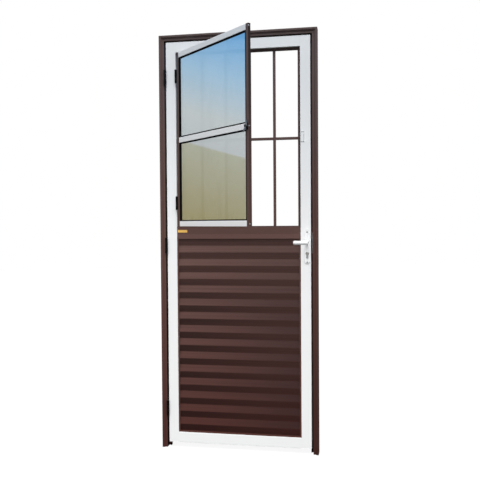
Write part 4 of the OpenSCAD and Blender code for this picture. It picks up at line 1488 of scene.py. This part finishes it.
    def _screen_material(self) -> bpy.types.Material:
        """Make the screen's sky over a sloping meadow.

        Returns:
            The material.
        """
        material, graph = new_graph("sky_and_meadow")
        across, depth, height = graph.axes(graph.place())
        heading = depth.angle_over(-across)
        wave = ((heading - self.skyline_heading) * self.skyline_waves).sine()
        over = height - (self.horizon + wave * self.skyline_rise)
        sky = graph.shades(over / self.sky_span, self.SKY)
        meadow = graph.shades(-over / self.meadow_span, self.MEADOW)
        view = graph.mix(over.ramp(-self.skyline_blur, self.skyline_blur), meadow, sky)
        dimmed = (across / self.screen_radius).ramp(*self.dimming_span) * self.screen_dimming
        colour = graph.mix(dimmed, view, PLAIN_BLACK)
        light = {"Color": colour, "Strength": self.screen_strength}
        glow = graph.node("ShaderNodeEmission", inputs=light)
        graph.node("ShaderNodeOutputMaterial", inputs={"Surface": glow})
        return material

    def _screen(self) -> None:
        """Hang a round screen of sky and meadow that only mirrors can see."""
        wall = bmesh.new()
        bmesh.ops.create_cone(
            wall,
            cap_ends=False,
            segments=self.ROUND_STEPS,
            radius1=self.screen_radius,
            radius2=self.screen_radius,
            depth=self.screen_height,
        )
        foot = [edge for edge in wall.edges if edge.is_boundary and edge.verts[0].co.z < 0]
        bmesh.ops.contextual_create(wall, geom=foot)
        lift = self.screen_height / 2 - self.screen_sunk
        bmesh.ops.translate(wall, verts=wall.verts[:], vec=(0.0, 0.0, lift))
        unseen_by = ("camera", "diffuse", "transmission", "volume_scatter", "shadow")
        self._stage_object(wall, "reflection_screen", self._screen_material(), unseen_by)

    def _world(self) -> None:
        """Fill with soft sky light; the camera, mirrors and glass see plain white."""
        world = bpy.data.worlds.new("studio_world")
        world.use_nodes = True
        self.scene.world = world
        graph = Graph(world.node_tree)
        upward = graph.axes(graph.node("ShaderNodeTexCoord", output="Generated"))[2]
        below, above = [(level, level, level, 1.0) for level in (self.sky_below, self.sky_above)]
        fill = graph.mix(upward.ramp(-self.sky_blend, self.sky_blend), below, above)
        rays = graph.node("ShaderNodeLightPath").socket.node.outputs
        camera, glossy, through = (
            Value(graph, rays[name])
            for name in ("Is Camera Ray", "Is Glossy Ray", "Is Transmission Ray")
        )
        colour = graph.mix(camera.larger(glossy).larger(through), fill, PLAIN_WHITE)
        shine = graph.node("ShaderNodeBackground", inputs={"Color": colour, "Strength": 1.0})
        graph.node("ShaderNodeOutputWorld", inputs={"Surface": shine})

    def _key_light(self) -> None:
        """Hang the soft key light, high in front of the door, past the pieces that don't block it."""
        lamp = bpy.data.lights.new("key_light", "SUN")
        lamp.energy = self.sun_strength
        lamp.angle = self.sun_spread
        towards = Vector(self.sun_towards).normalized()
        turn = towards.to_track_quat("Z", "Y").to_matrix().to_4x4()
        sun = bpy.data.objects.new(lamp.name, lamp)
        sun.matrix_world = Matrix.Translation(towards * self.sun_distance) @ turn
        self.scene.collection.objects.link(sun)
        spared = bpy.data.collections.new("key_light_blockers")
        sun.light_linking.blocker_collection = spared
        for name in self.unshadowed:
            spared.objects.link(bpy.data.objects[name])
        for row in spared.collection_objects:
            row.light_linking.link_state = "EXCLUDE"

    def _camera(self) -> None:
        """Stand the camera where the photograph was taken from."""
        yaw, pitch, roll = (
            math.radians(angle) for angle in (self.camera_yaw, self.camera_pitch, self.camera_roll)
        )
        right = Vector((math.cos(yaw), math.sin(yaw), 0.0))
        forward = Vector(
            (-math.sin(yaw) * math.cos(pitch), math.cos(yaw) * math.cos(pitch), math.sin(pitch))
        )
        down = forward.cross(right)
        across = math.cos(roll) * right + math.sin(roll) * down
        drop = -math.sin(roll) * right + math.cos(roll) * down
        turn = Matrix((across, -drop, -forward)).transposed().to_4x4()
        lens = bpy.data.cameras.new("photo_camera")
        lens.sensor_fit = "HORIZONTAL"
        lens.sensor_width = self.sensor
        lens.lens = self.focal_pixels * self.sensor / IMAGE_PIXELS
        camera = bpy.data.objects.new("photo_camera", lens)
        camera.matrix_world = Matrix.Translation(self.camera_place) @ turn
        self.scene.collection.objects.link(camera)
        self.scene.camera = camera


def main() -> None:
    """Load the frame, dress the door and set the stage."""
    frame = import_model()
    paint = Paintbox(frame["record"])
    paint.dress_nodes(frame["nodes"])
    shop = Workshop(frame, paint)
    for assembly in (HandleSet, LockFittings, Hinges, SashLatch, VentSash, BlankPlate):
        LOG.info("building %s", assembly.__name__)
        assembly(shop).build()
    Studio(bpy.context.scene).build()


if __name__ == "__main__":
    logging.basicConfig(level=logging.INFO)
    main()
